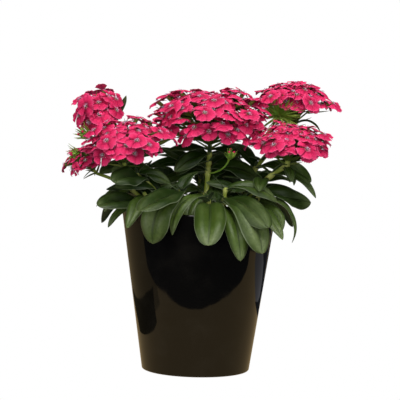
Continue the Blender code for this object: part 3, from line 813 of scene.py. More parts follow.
class Mesh:
    """Collects the points, faces and shading marks of one piece."""

    def __init__(self) -> None:
        """Starts with nothing."""
        self.points: list[Vector] = []
        self.marks: list[Mark] = []
        self.faces: list[tuple[int, ...]] = []

    def ring(self, points: list[Vector], marks: list[Mark]) -> list[int]:
        """Adds points with their marks.

        Args:
            points: The points.
            marks: The marks of each.

        Returns:
            Their numbers.
        """
        first = len(self.points)
        self.points += points
        self.marks += marks
        return list(range(first, first + len(points)))

    def bridge(self, low: list[int], high: list[int], closed: bool = True) -> None:
        """Joins two rows of as many points with faces.

        Args:
            low: The first row.
            high: The second row.
            closed: Whether the rows are rings.
        """
        for k in range(len(low) if closed else len(low) - 1):
            after = (k + 1) % len(low)
            self.faces.append((low[k], low[after], high[after], high[k]))

    def tube(self, points: list[Vector], radii: list[float], sides: int, tone: float,
             joints: list[float] | None = None, ribs: float = 0.0) -> None:
        """Adds a closed round rod through the points.

        Args:
            points: Its centre line.
            radii: Its radius at each point.
            sides: How many sides it has.
            tone: Its own shade.
            joints: How much of a joint each point is, from 0 to 1.
            ribs: How far every other side is drawn in, as a share of the radius.
        """
        side, last = RING_START, []
        for i, point in enumerate(points):
            ahead = (points[min(i + 1, len(points) - 1)] - points[max(i - 1, 0)]).normalized()
            side = (side - ahead * side.dot(ahead)).normalized()
            other = ahead.cross(side)
            spots, marks = [], []
            for k in range(sides):
                reach = radii[i] * (1.0 - ribs * (k % 2))
                spots.append(point + between(side, other, math.tau * k / sides) * reach)
                marks.append((i / (len(points) - 1), k / sides, tone, joints[i] if joints else 0.0))
            row = self.ring(spots, marks)
            if last:
                self.bridge(last, row)
            else:
                self.faces.append(tuple(reversed(row)))
            last = row
        self.faces.append(tuple(last))

    def blade(self, grid: list[list[Vector]], thickness: list[list[float]], tone: float) -> None:
        """Adds a closed thin blade round a grid of points.

        Args:
            grid: Its middle layer, in rows from the foot to the tip.
            thickness: Half of its thickness at each point.
            tone: Its own shade.
        """
        rows, columns = len(grid), len(grid[0])
        layers: dict[float, list[list[int]]] = {}
        for under in (0.0, 1.0):
            layers[under] = []
            for i in range(rows):
                spots, marks = [], []
                for j in range(columns):
                    down = grid[min(i + 1, rows - 1)][j] - grid[max(i - 1, 0)][j]
                    over = grid[i][min(j + 1, columns - 1)] - grid[i][max(j - 1, 0)]
                    normal = down.cross(over).normalized()
                    spots.append(grid[i][j] + normal * thickness[i][j] * (1.0 - 2.0 * under))
                    marks.append((i / (rows - 1), 2.0 * j / (columns - 1) - 1.0, tone, under))
                layers[under].append(self.ring(spots, marks))
        top, bottom = layers[0.0], layers[1.0]
        for i in range(rows - 1):
            self.bridge(top[i + 1], top[i], closed=False)
            self.bridge(bottom[i], bottom[i + 1], closed=False)
            self.faces.append((top[i][0], bottom[i][0], bottom[i + 1][0], top[i + 1][0]))
            self.faces.append((top[i + 1][-1], bottom[i + 1][-1], bottom[i][-1], top[i][-1]))
        self.bridge(bottom[0], top[0], closed=False)
        self.bridge(top[-1], bottom[-1], closed=False)

    def piece(self, name: str, material: Finish, slot: Slot, *nodes: str) -> bpy.types.Object:
        """Makes the piece and lets it ride with the model.

        Args:
            name: The piece's name.
            material: Its finish.
            slot: Not used.
            nodes: The model's nodes that the piece stands for.

        Returns:
            The object.
        """
        data = bpy.data.meshes.new(name)
        data.from_pydata(self.points, [], self.faces)
        for i, mark in enumerate(MARKS):
            layer = data.attributes.new(mark, "FLOAT", "POINT")
            layer.data.foreach_set("value", [marks[i] for marks in self.marks])
        data.shade_smooth()
        data.set_sharp_from_angle(angle=SHARP_ANGLE)
        data.materials.append(material)
        made = bpy.data.objects.new(name, data)
        bpy.context.scene.collection.objects.link(made)
        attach(made, "root")
        if nodes:
            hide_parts(*nodes)
        LOG.info("%s: %d faces, for %s", name, len(data.polygons), ", ".join(nodes) or "no node")
        return made


class Packed:
    """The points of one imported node, which say where its leaves and florets were settled."""

    def __init__(self, node: str) -> None:
        """Sorts the node's points for searching.

        Args:
            node: The node's name.
        """
        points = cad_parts[node].data.vertices
        self.tree = KDTree(len(points))
        for i, point in enumerate(points):
            self.tree.insert(point.co, i)
        self.tree.balance()

    def hits(self, points: list[Vector]) -> int:
        """How many of the points are points of the node."""
        return sum(1 for point in points if self.tree.find(point)[2] < SAME_PLACE)


@dataclass(frozen=True)
class Floret:
    """One floret's place: its throat, where it faces, its turn, its petals' length and its calyx's foot."""

    centre: Vector
    facing: Vector
    spin: float
    petal: float
    foot: Vector

    def axes(self) -> tuple[Vector, Vector]:
        """Two directions across the floret, turned by its spin."""
        side = Matrix.Rotation(self.spin, 3, self.facing) @ self.facing.orthogonal().normalized()
        return side, self.facing.cross(side)

    def outline(self) -> list[Vector]:
        """The rim of the model's floret plate, which its node holds where the floret was settled."""
        side, other = self.axes()
        rim = []
        for k in range(PETALS):
            for angle, reach, lift in PLATE_OUTLINE:
                turned = math.radians(angle + k * 360 / PETALS)
                flat = between(side, other, turned) * reach * self.petal
                rim.append(self.centre + flat + self.facing * lift * MM)
        return rim


# A bract's strips across its width, its rows, its thickness and half of its width at its point.
BRACT_STRIPS = (-1, -0.4, 0.4, 1)
BRACT_ROWS = 7
BRACT_THICKNESS = 0.28
BRACT_POINT = 0.05

# A bud's green calyx and its furled tip: shares of its length, and the radius at each.
BUD_CALYX = ((0.0, 0.85), (0.12, 1.615), (0.45, 1.7), (0.75, 1.53), (1.0, 1.054))
BUD_TIP = ((-0.06, 0.9), (0.06, 1.2), (0.18, 0.8), (0.28, 0.15))


class Greenery:
    """What heads and tufts have in common: narrow bracts and unopened buds."""

    @staticmethod
    def bract(mesh: Mesh, foot: Vector, ahead: Vector, length: float, width: float, bend: float,
              rng: random.Random) -> None:
        """Adds a narrow pointed bract.

        Args:
            mesh: The piece it is added to.
            foot: Where it starts.
            ahead: The way it sets out.
            length: Its length in metres.
            width: Its width in metres.
            bend: How far its tip turns out, in metres.
            rng: The piece's random draws.
        """
        ahead = ahead.normalized()
        wide = ahead.cross(Vector((rng.uniform(-1, 1), rng.uniform(-1, 1), 0.6))).normalized()
        up = wide.cross(ahead)
        grid, thickness = [], []
        for i in range(BRACT_ROWS):
            s = i / (BRACT_ROWS - 1)
            half = width / 2 * (1 - s) ** 0.7 * (0.55 + 0.9 * s * (1 - s)) + BRACT_POINT * MM
            middle = foot + ahead * length * s + up * bend * s * s
            grid.append([middle + wide * half * u + up * (abs(u) * half * 0.45) for u in BRACT_STRIPS])
            thickness.append([BRACT_THICKNESS / 2 * MM] * len(BRACT_STRIPS))
        mesh.blade(grid, thickness, rng.random())

    @staticmethod
    def bud(mesh: Mesh, tips: Mesh, foot: Vector, ahead: Vector, length: float, rng: random.Random) -> None:
        """Adds an unopened bud: a green calyx with a furled pink tip.

        Args:
            mesh: The green piece.
            tips: The petals' piece.
            foot: Where it starts.
            ahead: The way it points.
            length: Its length in metres.
            rng: The piece's random draws.
        """
        ahead = ahead.normalized()
        points = [foot + ahead * length * share for share, _ in BUD_CALYX]
        mesh.tube(points, [radius * MM for _, radius in BUD_CALYX], 8, rng.random(), ribs=0.12)
        furled = [points[-1] + ahead * length * share for share, _ in BUD_TIP]
        tips.tube(furled, [radius * MM for _, radius in BUD_TIP], 7, rng.random(), ribs=0.2)


@dataclass
class FlowerHead(Greenery):
    """One head: petals, their anthers, and the green calyxes, stalks, buds and bracts below them."""

    plan: HeadPlan
    petal_rows: int = 7
    petal_columns: int = 13
    petal_thickness: float = 0.30
    petal_share: float = 0.77
    throat: float = 1.2
    tooth: float = 0.07
    fillers: float = 1.15
    filler_tries: int = 24
    filler_depth: float = 0.94
    filler_edge: float = math.radians(90)
    facing_limit: float = math.radians(62)
    turned_up: float = 0.46
    fillers_up: float = 0.24
    unruly: float = 0.22
    nodding: float = -0.6
    stamens: int = 5
    stamen_reach: Span = (0.5, 1.8)
    stamen_rise: Span = (0.5, 1.4)
    thread_radius: float = 0.10
    anther_radius: float = 0.22
    anther_half: float = 0.6
    calyx_length: float = 15.0
    calyx_radius: float = 1.9
    calyx_sides: int = 10
    stalk_radius: float = 0.8
    fan: Span = (0.46, 0.56)
    cup: Span = (-0.04, 0.20)
    arch: Span = (-0.34, -0.04)
    ruffle: Span = (0.15, 0.55)
    bracts_each: int = 3
    bract_length: Span = (10, 17)
    bract_width: float = 1.9
    bract_bend: Span = (0.5, 3.0)
    skirt_length: Span = (14, 21)
    skirt_width: float = 2.4
    skirt_bend: Span = (-2.0, 3.0)
    least_buds: int = 4
    florets_a_bud: int = 3
    bud_length: float = 13.0
    bud_down: Span = (0.5, 1.35)
    bud_foot: float = 0.52
    bud_top: Span = (0.82, 0.92)
    whorl: int = 10
    whorl_width: float = 3.2
    whorl_bend: Span = (-3.0, 2.0)

    def settled(self) -> list[Floret]:
        """Reads the settled florets from the frame.

        Returns:
            The florets, on the model's golden-angle spiral, each raised and tipped as its node shows.
        """
        plan, packed = self.plan, Packed(self.plan.name)
        rng = random.Random(plan.seed)
        a, d, u = plan.axes()
        start = rng.uniform(0, math.tau)
        found = []
        for i in range(plan.florets):
            down = HEAD_EDGE * math.sqrt((i + 0.5) / plan.florets)
            around = start + i * GOLDEN_ANGLE
            tilt = down * plan.facing + rng.uniform(-FLORET_LEAN, FLORET_LEAN)
            swing = around + rng.uniform(-FLORET_SWING, FLORET_SWING)
            spin = rng.uniform(0, math.tau)
            petal = plan.petal * rng.uniform(*FLORET_SIZE) * MM
            level = ((i % 3) - 1) * LAYER_STEP
            foot = plan.point(*plan.dome(down, around, FOOT_SHARE))
            tried = []
            for shift in FLORET_SHIFTS:
                for tip in FLORET_TILTS:
                    lean = tilt + tip
                    facing = between(a, d, swing) * math.sin(lean) + u * math.cos(lean)
                    centre = plan.point(*plan.dome(down, around)) + facing * (level + shift) * MM
                    tried.append(Floret(centre, facing.normalized(), spin, petal, foot))
            found.append(max(tried, key=lambda floret: packed.hits(floret.outline())))
        return found

    def fill(self, florets: list[Floret], rng: random.Random) -> list[Floret]:
        """Finds places for further florets in the widest gaps between the settled ones.

        Args:
            florets: The settled florets.
            rng: The head's random draws.

        Returns:
            The further florets, a little deeper in the dome.
        """
        plan = self.plan
        a, d, u = plan.axes()
        centres = [floret.centre for floret in florets]

        def gap(spot: tuple[Vector, float, float]) -> float:
            """How far a spot lies from the nearest floret."""
            return min((spot[0] - near).length for near in centres)

        added = []
        for _ in range(round(self.fillers * plan.florets)):
            spots = []
            for _ in range(self.filler_tries):
                down, around = self.filler_edge * math.sqrt(rng.random()), rng.uniform(0, math.tau)
                spots.append((plan.point(*plan.dome(down, around, self.filler_depth)), down, around))
            centre, down, around = max(spots, key=gap)
            centres.append(centre)
            lean = min(down * (plan.facing + 0.1), self.facing_limit)
            facing = between(a, d, around) * math.sin(lean) + u * math.cos(lean)
            foot = plan.point(*plan.dome(down, around, FOOT_SHARE))
            petal = plan.petal * rng.uniform(0.88, 1.02) * MM
            added.append(Floret(centre, facing.normalized(), rng.uniform(0, math.tau), petal, foot))
        return added

    def rim(self, rng: random.Random) -> list[Floret]:
        """Places the florets of the head's rim.

        Args:
            rng: The head's random draws.

        Returns:
            The florets, each facing away from the neck.
        """
        neck = self.plan.neck_point()
        placed = []
        for spot in RIM_FLORETS.get(self.plan.name, ()):
            centre = Vector(spot) * MM
            petal = self.plan.petal * rng.uniform(0.90, 1.04) * MM
            placed.append(Floret(centre, (centre - neck).normalized(), rng.uniform(0, math.tau), petal,
                                 centre.lerp(neck, 0.5)))
        return placed

    def florets(self, rng: random.Random) -> list[Floret]:
        """Gathers the head's florets at their shown size, turned up to the light.

        Args:
            rng: The head's random draws.

        Returns:
            The florets.
        """
        settled = self.settled() + self.rim(rng)
        nodding = self.plan.lean[1] < self.nodding
        shown = []
        for floret in settled + self.fill(settled, rng):
            turned = 0.0 if nodding else self.turned_up if floret in settled else self.fillers_up
            facing = floret.facing.lerp(Vector((0, 0, 1)), turned) + random_way(rng) * self.unruly
            petal = floret.petal * self.petal_share
            shown.append(Floret(floret.centre, facing.normalized(), floret.spin, petal, floret.foot))
        return shown

    def petal(self, mesh: Mesh, floret: Floret, k: int, rng: random.Random, tone: float) -> None:
        """Adds one toothed, ruffled petal.

        Args:
            mesh: The piece it is added to.
            floret: Its floret.
            k: Which of the five it is.
            rng: The head's random draws.
            tone: The floret's shade.
        """
        side, other = floret.axes()
        out = between(side, other, math.tau * k / PETALS + rng.uniform(-0.06, 0.06))
        wide = floret.facing.cross(out)
        length = floret.petal * rng.uniform(0.94, 1.06)
        fan = rng.uniform(*self.fan)
        cup, arch = rng.uniform(*self.cup), rng.uniform(*self.arch)
        ruffle, phase = rng.uniform(*self.ruffle) * MM, rng.uniform(0, math.tau)
        teeth = [self.tooth * rng.uniform(0.4, 1.6) * (j % 2) for j in range(self.petal_columns)]
        grid, thickness = [], []
        for i in range(self.petal_rows):
            v = i / (self.petal_rows - 1)
            half = length * (0.07 + fan * v ** 1.05)
            row = []
            for j in range(self.petal_columns):
                u = 2 * j / (self.petal_columns - 1) - 1
                edge = length * (1.04 - 0.30 * abs(u) ** 2.4 - teeth[j])
                x = self.throat * MM + (edge - self.throat * MM) * v
                z = length * (cup * v + arch * v * v) - 0.9 * MM * max(0.0, 1 - v / 0.16)
                z += ruffle * v * v * math.sin(u * 5.6 + phase) + 0.55 * MM * u * v ** 0.5
                z -= length * 0.11 * u * u * v
                row.append(floret.centre + out * x + wide * (u * half) + floret.facing * z)
            grid.append(row)
            thickness.append([self.petal_thickness * MM / 2 * (1 - 0.4 * v)] * self.petal_columns)
        mesh.blade(grid, thickness, min(1.0, max(0.0, tone + rng.uniform(-0.2, 0.2))))

    def eye(self, mesh: Mesh, floret: Floret, rng: random.Random) -> None:
        """Adds a floret's stamens: pale threads that end in lilac anthers.

        Args:
            mesh: The piece they are added to.
            floret: Their floret.
            rng: The head's random draws.
        """
        side, other = floret.axes()
        for k in range(self.stamens):
            out = between(side, other, math.tau * (k + rng.uniform(-0.3, 0.3)) / self.stamens)
            reach, rise = rng.uniform(*self.stamen_reach) * MM, rng.uniform(*self.stamen_rise) * MM
            foot = floret.centre - floret.facing * 0.8 * MM + out * 0.4 * MM
            top = floret.centre + out * reach + floret.facing * rise
            bend = floret.centre + out * reach * 0.35 + floret.facing * rise * 0.6
            mesh.tube([foot, bend, top], [self.thread_radius * MM] * 3, 3, 0.0)
            wide = floret.facing.cross(out).normalized()
            lies = (out * rng.uniform(0.4, 1.0) + wide * rng.uniform(-1, 1)).normalized()
            rod = [top + lies * share * self.anther_half * MM for share in (-1, -0.5, 0.5, 1)]
            radii = (self.thread_radius, self.anther_radius, self.anther_radius, self.thread_radius)
            first = len(mesh.marks)
            mesh.tube(rod, [radius * MM for radius in radii], 5, 0.0)
            mesh.marks[first:] = [(1.0, mark[1], mark[2], 0.0) for mark in mesh.marks[first:]]

    def calyx(self, mesh: Mesh, floret: Floret, rng: random.Random) -> Vector:
        """Adds a floret's ribbed calyx tube and the stalk that carries it from the neck.

        Args:
            mesh: The piece they are added to.
            floret: Their floret.
            rng: The head's random draws.

        Returns:
            Where the calyx stands on its stalk.
        """
        top = floret.centre - floret.facing * 0.5 * MM
        path = floret.foot - top
        length = min(self.calyx_length * MM, path.length)
        ahead = path.normalized()
        foot = top + ahead * length
        tone = rng.random()
        points = [foot.lerp(top, share) for share in (0.0, 0.08, 0.35, 0.7, 0.93, 1.0)]
        radii = [self.calyx_radius * MM * size for size in (0.5, 0.9, 1.0, 0.92, 0.98, 1.12)]
        mesh.tube(points, radii, self.calyx_sides, tone, ribs=0.14)
        neck = self.plan.neck_point()
        bend = foot.lerp(neck, 0.5) + self.plan.axes()[2] * 2.0 * MM
        stalk = [arc(neck, bend, foot, t) for t in (0.0, 0.25, 0.5, 0.75, 1.0)]
        mesh.tube(stalk, [self.stalk_radius * MM * size for size in (1.3, 1.0, 0.9, 0.9, 1.2)], 6, tone)
        return foot

    def greens(self, mesh: Mesh, tips: Mesh, florets: list[Floret], rng: random.Random) -> None:
        """Adds what is below the petals: calyxes, stalks, buds, their bracts and the whorl at the neck.

        Args:
            mesh: The green piece.
            tips: The petals' piece.
            florets: The head's florets.
            rng: The head's random draws.
        """
        plan = self.plan
        neck, up = plan.neck_point(), plan.axes()[2]
        size = plan.petal / FULL_PETAL
        for floret in florets:
            foot = self.calyx(mesh, floret, rng)
            rising = (floret.centre - foot).normalized()
            away = (foot - neck) - up * (foot - neck).dot(up)
            away = away.normalized() if away.length > 1e-5 else floret.axes()[0]
            for _ in range(self.bracts_each):
                ahead = rising + away * rng.uniform(0.0, 0.55) + random_way(rng) * 0.35
                length = rng.uniform(*self.bract_length) * size * MM
                self.bract(mesh, foot - rising * 1.5 * MM, ahead, length, self.bract_width * MM,
                           rng.uniform(*self.bract_bend) * MM, rng)
            if away.length and (floret.centre - neck).normalized().dot(up) < 0.75:
                ahead = away + up * rng.uniform(-0.1, 0.6) + random_way(rng) * 0.25
                length = rng.uniform(*self.skirt_length) * size * MM
                self.bract(mesh, foot.lerp(neck, 0.4), ahead, length, self.skirt_width * MM,
                           rng.uniform(*self.skirt_bend) * MM, rng)
        for k in range(max(self.least_buds, plan.florets // self.florets_a_bud)):
            around = k * GOLDEN_ANGLE + plan.seed
            down = rng.uniform(*self.bud_down)
            foot = plan.point(*plan.dome(down, around, self.bud_foot))
            tip = plan.point(*plan.dome(down, around, rng.uniform(*self.bud_top)))
            self.bud(mesh, tips, foot, tip - foot, min((tip - foot).length, self.bud_length * MM), rng)
        for k in range(self.whorl):
            out = between(*plan.axes()[:2], math.tau * (k + rng.uniform(-0.2, 0.2)) / self.whorl)
            reach = (0.42 * plan.across + 6) * MM * rng.uniform(0.75, 1.0)
            foot = plan.point(0, 0, -plan.neck - BRACT_DROP * (k % 2)) + out * 1.2 * MM
            ahead = out + up * rng.uniform(0.3, 0.8)
            bend = rng.uniform(*self.whorl_bend) * MM
            self.bract(mesh, foot, ahead, reach, self.whorl_width * MM, bend, rng)

    def build(self, petals: Finish, greens: Finish, anthers: Finish) -> None:
        """Makes the head's three pieces.

        Args:
            petals: The petals' finish.
            greens: The calyxes' and bracts' finish.
            anthers: The stamens' finish.
        """
        rng = random.Random(self.plan.seed + 100)
        florets = self.florets(rng)
        pink, green, eyes = Mesh(), Mesh(), Mesh()
        for floret in florets:
            tone = rng.uniform(0.1, 0.9)
            for k in range(PETALS):
                self.petal(pink, floret, k, rng, tone)
            self.eye(eyes, floret, rng)
        self.greens(green, pink, florets, rng)
        name = self.plan.name.removeprefix("head_")
        pink.piece(f"petals_{name}", petals, Slot.PETALS, self.plan.name)
        green.piece(f"calyxes_{name}", greens, Slot.FOLIAGE, self.plan.name)
        eyes.piece(f"stamens_{name}", anthers, Slot.PETALS, self.plan.name)


@dataclass
class BudTuft(Greenery):
    """A young head that hasn't opened: buds in a ruff of narrow bracts, on a thin side shoot."""

    name: str
    place: Place
    shoot: str
    leaves_at: float
    ahead: Place
    reach: float
    spread: float
    blades: int
    buds: int
    seed: int
    width: float = 2.3
    stalk_radius: float = 0.9
    blade_sizes: Span = (0.65, 1.05)
    blade_widths: Span = (0.8, 1.2)
    blade_bend: Span = (-1.5, 2.5)
    bud_sizes: Span = (0.45, 0.65)

    def build(self, greens: Finish, petals: Finish) -> None:
        """Makes the tuft's pieces.

        Args:
            greens: The bracts' finish.
            petals: The finish of the buds' furled tips.
        """
        rng = random.Random(self.seed)
        plan = next(shoot for shoot in SHOOTS if shoot.name == self.shoot)
        root, middle = plan.curve(plan.height(self.leaves_at)), Vector(self.place) * MM
        ahead = Vector(self.ahead).normalized()
        across = ahead.orthogonal().normalized()
        green, pink = Mesh(), Mesh()
        bend = middle - ahead * (middle - root).length * 0.45
        stalk = [arc(root, bend, middle, t) for t in (0.0, 0.2, 0.4, 0.6, 0.8, 1.0)]
        radii = [self.stalk_radius * MM * size for size in (1.0, 0.9, 0.85, 0.85, 0.9, 1.3)]
        green.tube(stalk, radii, 7, 0.5)
        for k in range(self.blades):
            out = Matrix.Rotation(k * GOLDEN_ANGLE, 3, ahead) @ across
            opened = self.spread * math.sqrt((k + 0.5) / self.blades)
            way = ahead + out * opened + random_way(rng) * 0.12
            foot = middle - ahead * rng.uniform(0.5, 3.0) * MM + out * 0.9 * MM
            length = self.reach * rng.uniform(*self.blade_sizes) * MM
            width = rng.uniform(*self.blade_widths) * self.width * MM
            self.bract(green, foot, way, length, width, rng.uniform(*self.blade_bend) * MM, rng)
        for k in range(self.buds):
            out = Matrix.Rotation(k * GOLDEN_ANGLE + 1.0, 3, ahead) @ across
            way = ahead + out * rng.uniform(0.1, 0.5) * min(1.0, self.spread)
            length = self.reach * rng.uniform(*self.bud_sizes) * MM
            self.bud(green, pink, middle + out * 1.6 * MM, way, length, rng)
        green.piece(f"bracts_{self.name}", greens, Slot.FOLIAGE)
        if self.buds:
            pink.piece(f"bud_tips_{self.name}", petals, Slot.PETALS)


# How far down each head the added florets go: one head shows the bracts below it.
FULL_SKIRT = math.radians(102)
SKIRTS = {
    "head_right_back": math.radians(72),
    "head_left_low": math.radians(90),
    "head_right_front": math.radians(90),
}

TUFTS = (
    BudTuft("centre", (25.4, -20, 188), "stem_centre", 172, (0.2, -0.35, 1.0), 9.0, 1.1, 16, 3, 51),
    BudTuft("left", (-99, 10, 202), "stem_left_back", 194, (-0.75, -0.2, 0.45), 15.0, 1.0, 22, 3, 52),
    BudTuft("left_low", (-106, -6, 187), "stem_left_low", 156, (-0.8, -0.4, -0.25), 13.0, 1.1, 20, 5, 53),
    BudTuft("right_back", (69, 24, 224), "stem_right_back", 200, (0.0, -0.8, 0.1), 24.0, 1.7, 80, 0, 54, 3.6),
)


@dataclass
class Leaf:
    """One leaf as it is shown: waved margins, two padded lobes beside a groove, a twist and a rounded tip."""

    plan: LeafPlan
    foot: Vector
    seed: str
    rows: int = 30
    columns: int = 15
    middle_thickness: float = 0.75
    margin_thickness: float = 0.28
    padding: float = 0.70
    blunting: Span = (15.0, 32.0)
    waves: Span = (1.0, 2.4)
    wave_depth: Span = (0.02, 0.075)
    bend: float = 0.14
    twist: float = 0.30
    rolled: Span = (0.05, 0.42)
    fold_at_foot: float = 24.0
    fold_at_tip: float = -2.0
    # A leaf is paler the more it droops and the lower it is, partly as an older leaf and partly as painted
    # light, or paler in painted light the further right, within these spans; the rest keep a darker painted
    # shade.
    hanging: Span = (28.0, 68.0)
    low: Span = (176.0, 156.0)
    right: Span = (18.0, 58.0)
    hanging_tone: float = 0.88
    right_tone: float = 0.40
    own_tone: Span = (-0.05, 0.20)

    def midrib(self, s: float, line: list[Step]) -> tuple[Vector, Vector, Vector]:
        """Reads the midrib between the plan's steps.

        Args:
            s: The share of the leaf's length.
            line: The plan's steps.

        Returns:
            The point and the sideways and upward directions.
        """
        place = min(s * LEAF_STEPS, LEAF_STEPS - 1e-6)
        i = int(place)
        t = place - i
        point, side, up = (line[i][n].lerp(line[i + 1][n], t) for n in (0, 2, 3))
        return point, side.normalized(), up.normalized()

    def breadth(self, s: float) -> float:
        """Works out half of the leaf's width. Broad leaves are blunt and narrow ones pointed.

        Args:
            s: The share of the leaf's length.

        Returns:
            The half width in metres.
        """
        blunt = progress(self.plan.width, self.blunting)
        q = s ** (0.90 + 0.42 * blunt)
        return self.plan.width * MM / 2 * (0.16 * (1 - s) ** 4 + (4 * q * (1 - q)) ** (0.72 - 0.30 * blunt))

    def tone(self, line: list[Step], rng: random.Random) -> float:
        """Draws the leaf's painted light and shade: the low leaves that hang are paler, partly as older
        leaves and partly as painted light, those on the right are paler in painted light, and the high inner
        ones stay darker in painted shade.

        Args:
            line: The plan's steps.
            rng: The leaf's random draws.

        Returns:
            A number from 0, dark, to 1, pale.
        """
        middle = line[LEAF_STEPS // 2][0] / MM
        hangs, low = progress(-self.plan.droop, self.hanging), progress(middle.z, self.low)
        # Painted light on the right-hand leaves, and on the low hanging ones, which are partly older leaves.
        lit = progress(middle.x, self.right) * self.right_tone
        return min(1.0, max(lit, min(hangs, low) * self.hanging_tone) + rng.uniform(*self.own_tone))

    def add_to(self, mesh: Mesh) -> None:
        """Adds the leaf to a piece.

        Args:
            mesh: The piece.
        """
        rng = random.Random(self.seed)
        line = self.plan.line(self.foot)
        width = self.plan.width
        waves, phase = rng.uniform(*self.waves), rng.uniform(0, math.tau)
        depth = rng.uniform(*self.wave_depth) * width * MM
        bend = rng.uniform(-self.bend, self.bend) * width * MM
        twist = rng.uniform(-self.twist, self.twist)
        rolled = rng.uniform(*self.rolled)
        grid, thickness = [], []
        for i in range(self.rows):
            s = 1 - (1 - 0.9996 * i / (self.rows - 1)) ** 1.35
            point, side, up = self.midrib(s, line)
            turned = twist * s ** 1.5
            side, up = between(side, up, turned), between(up, -side, turned)
            reach = self.breadth(s)
            swollen = math.sin(math.pi * s)
            fold = math.radians(self.fold_at_foot + (self.fold_at_tip - self.fold_at_foot) * s)
            row, thick = [], []
            for j in range(self.columns):
                u = 2 * j / (self.columns - 1) - 1
                rise = (math.sqrt(u * u + 0.012) - 0.11) * reach * math.sin(fold)
                lobe = 1.6 * math.sqrt(u * u + 0.004) - 1.5 * u * u - 0.10
                rise += self.padding * reach * lobe * swollen ** 0.5
                rise += depth * u * u * math.sin(math.tau * waves * s + phase + 1.3 * (u > 0)) * swollen
                rise -= rolled * reach * abs(u) ** 3 * s
                row.append(point + side * (u * reach * math.cos(fold) + bend * swollen) + up * rise)
                body = self.margin_thickness
                body += (self.middle_thickness - self.margin_thickness) * (1 - abs(u)) ** 2
                rib = 0.5 * math.exp(-(u / 0.12) ** 2) * (1 - s)
                thick.append((body * (1 - 0.5 * s) + rib) * MM / 2)
            grid.append(row)
            thickness.append(thick)
        mesh.blade(grid, thickness, self.tone(line, rng))


@dataclass(frozen=True)
class LeafSpread:
    """What small leaves are drawn from: length, width as a share of it, and directions. front is how squarely
    one may point at the viewer, 1 being straight."""

    length: Span
    share: Span
    turn: float
    rise: Span
    droop: Span
    shows: Span
    front: float = 1.0

    def draw(self, at: float, heading: float, rng: random.Random) -> LeafPlan | None:
        """Draws one leaf.

        Args:
            at: The height it leaves its stem at.
            heading: Its heading before its own turn.
            rng: The shoot's random draws.

        Returns:
            The leaf, or None if it points too squarely at the viewer.
        """
        length = rng.uniform(*self.length)
        heading += rng.uniform(-self.turn, self.turn)
        if math.cos(math.radians(heading + 90)) > self.front:
            return None
        return LeafPlan(at, heading, length, length * rng.uniform(*self.share), rng.uniform(*self.rise),
                        rng.uniform(*self.droop), rng.uniform(*self.shows))


YOUNG = LeafSpread((9, 20), (0.16, 0.24), 30, (40, 68), (-10, 40), (0, 40))
FILLER = LeafSpread((22, 42), (0.28, 0.40), 20, (10, 52), (-55, 5), (0, 60), 0.72)


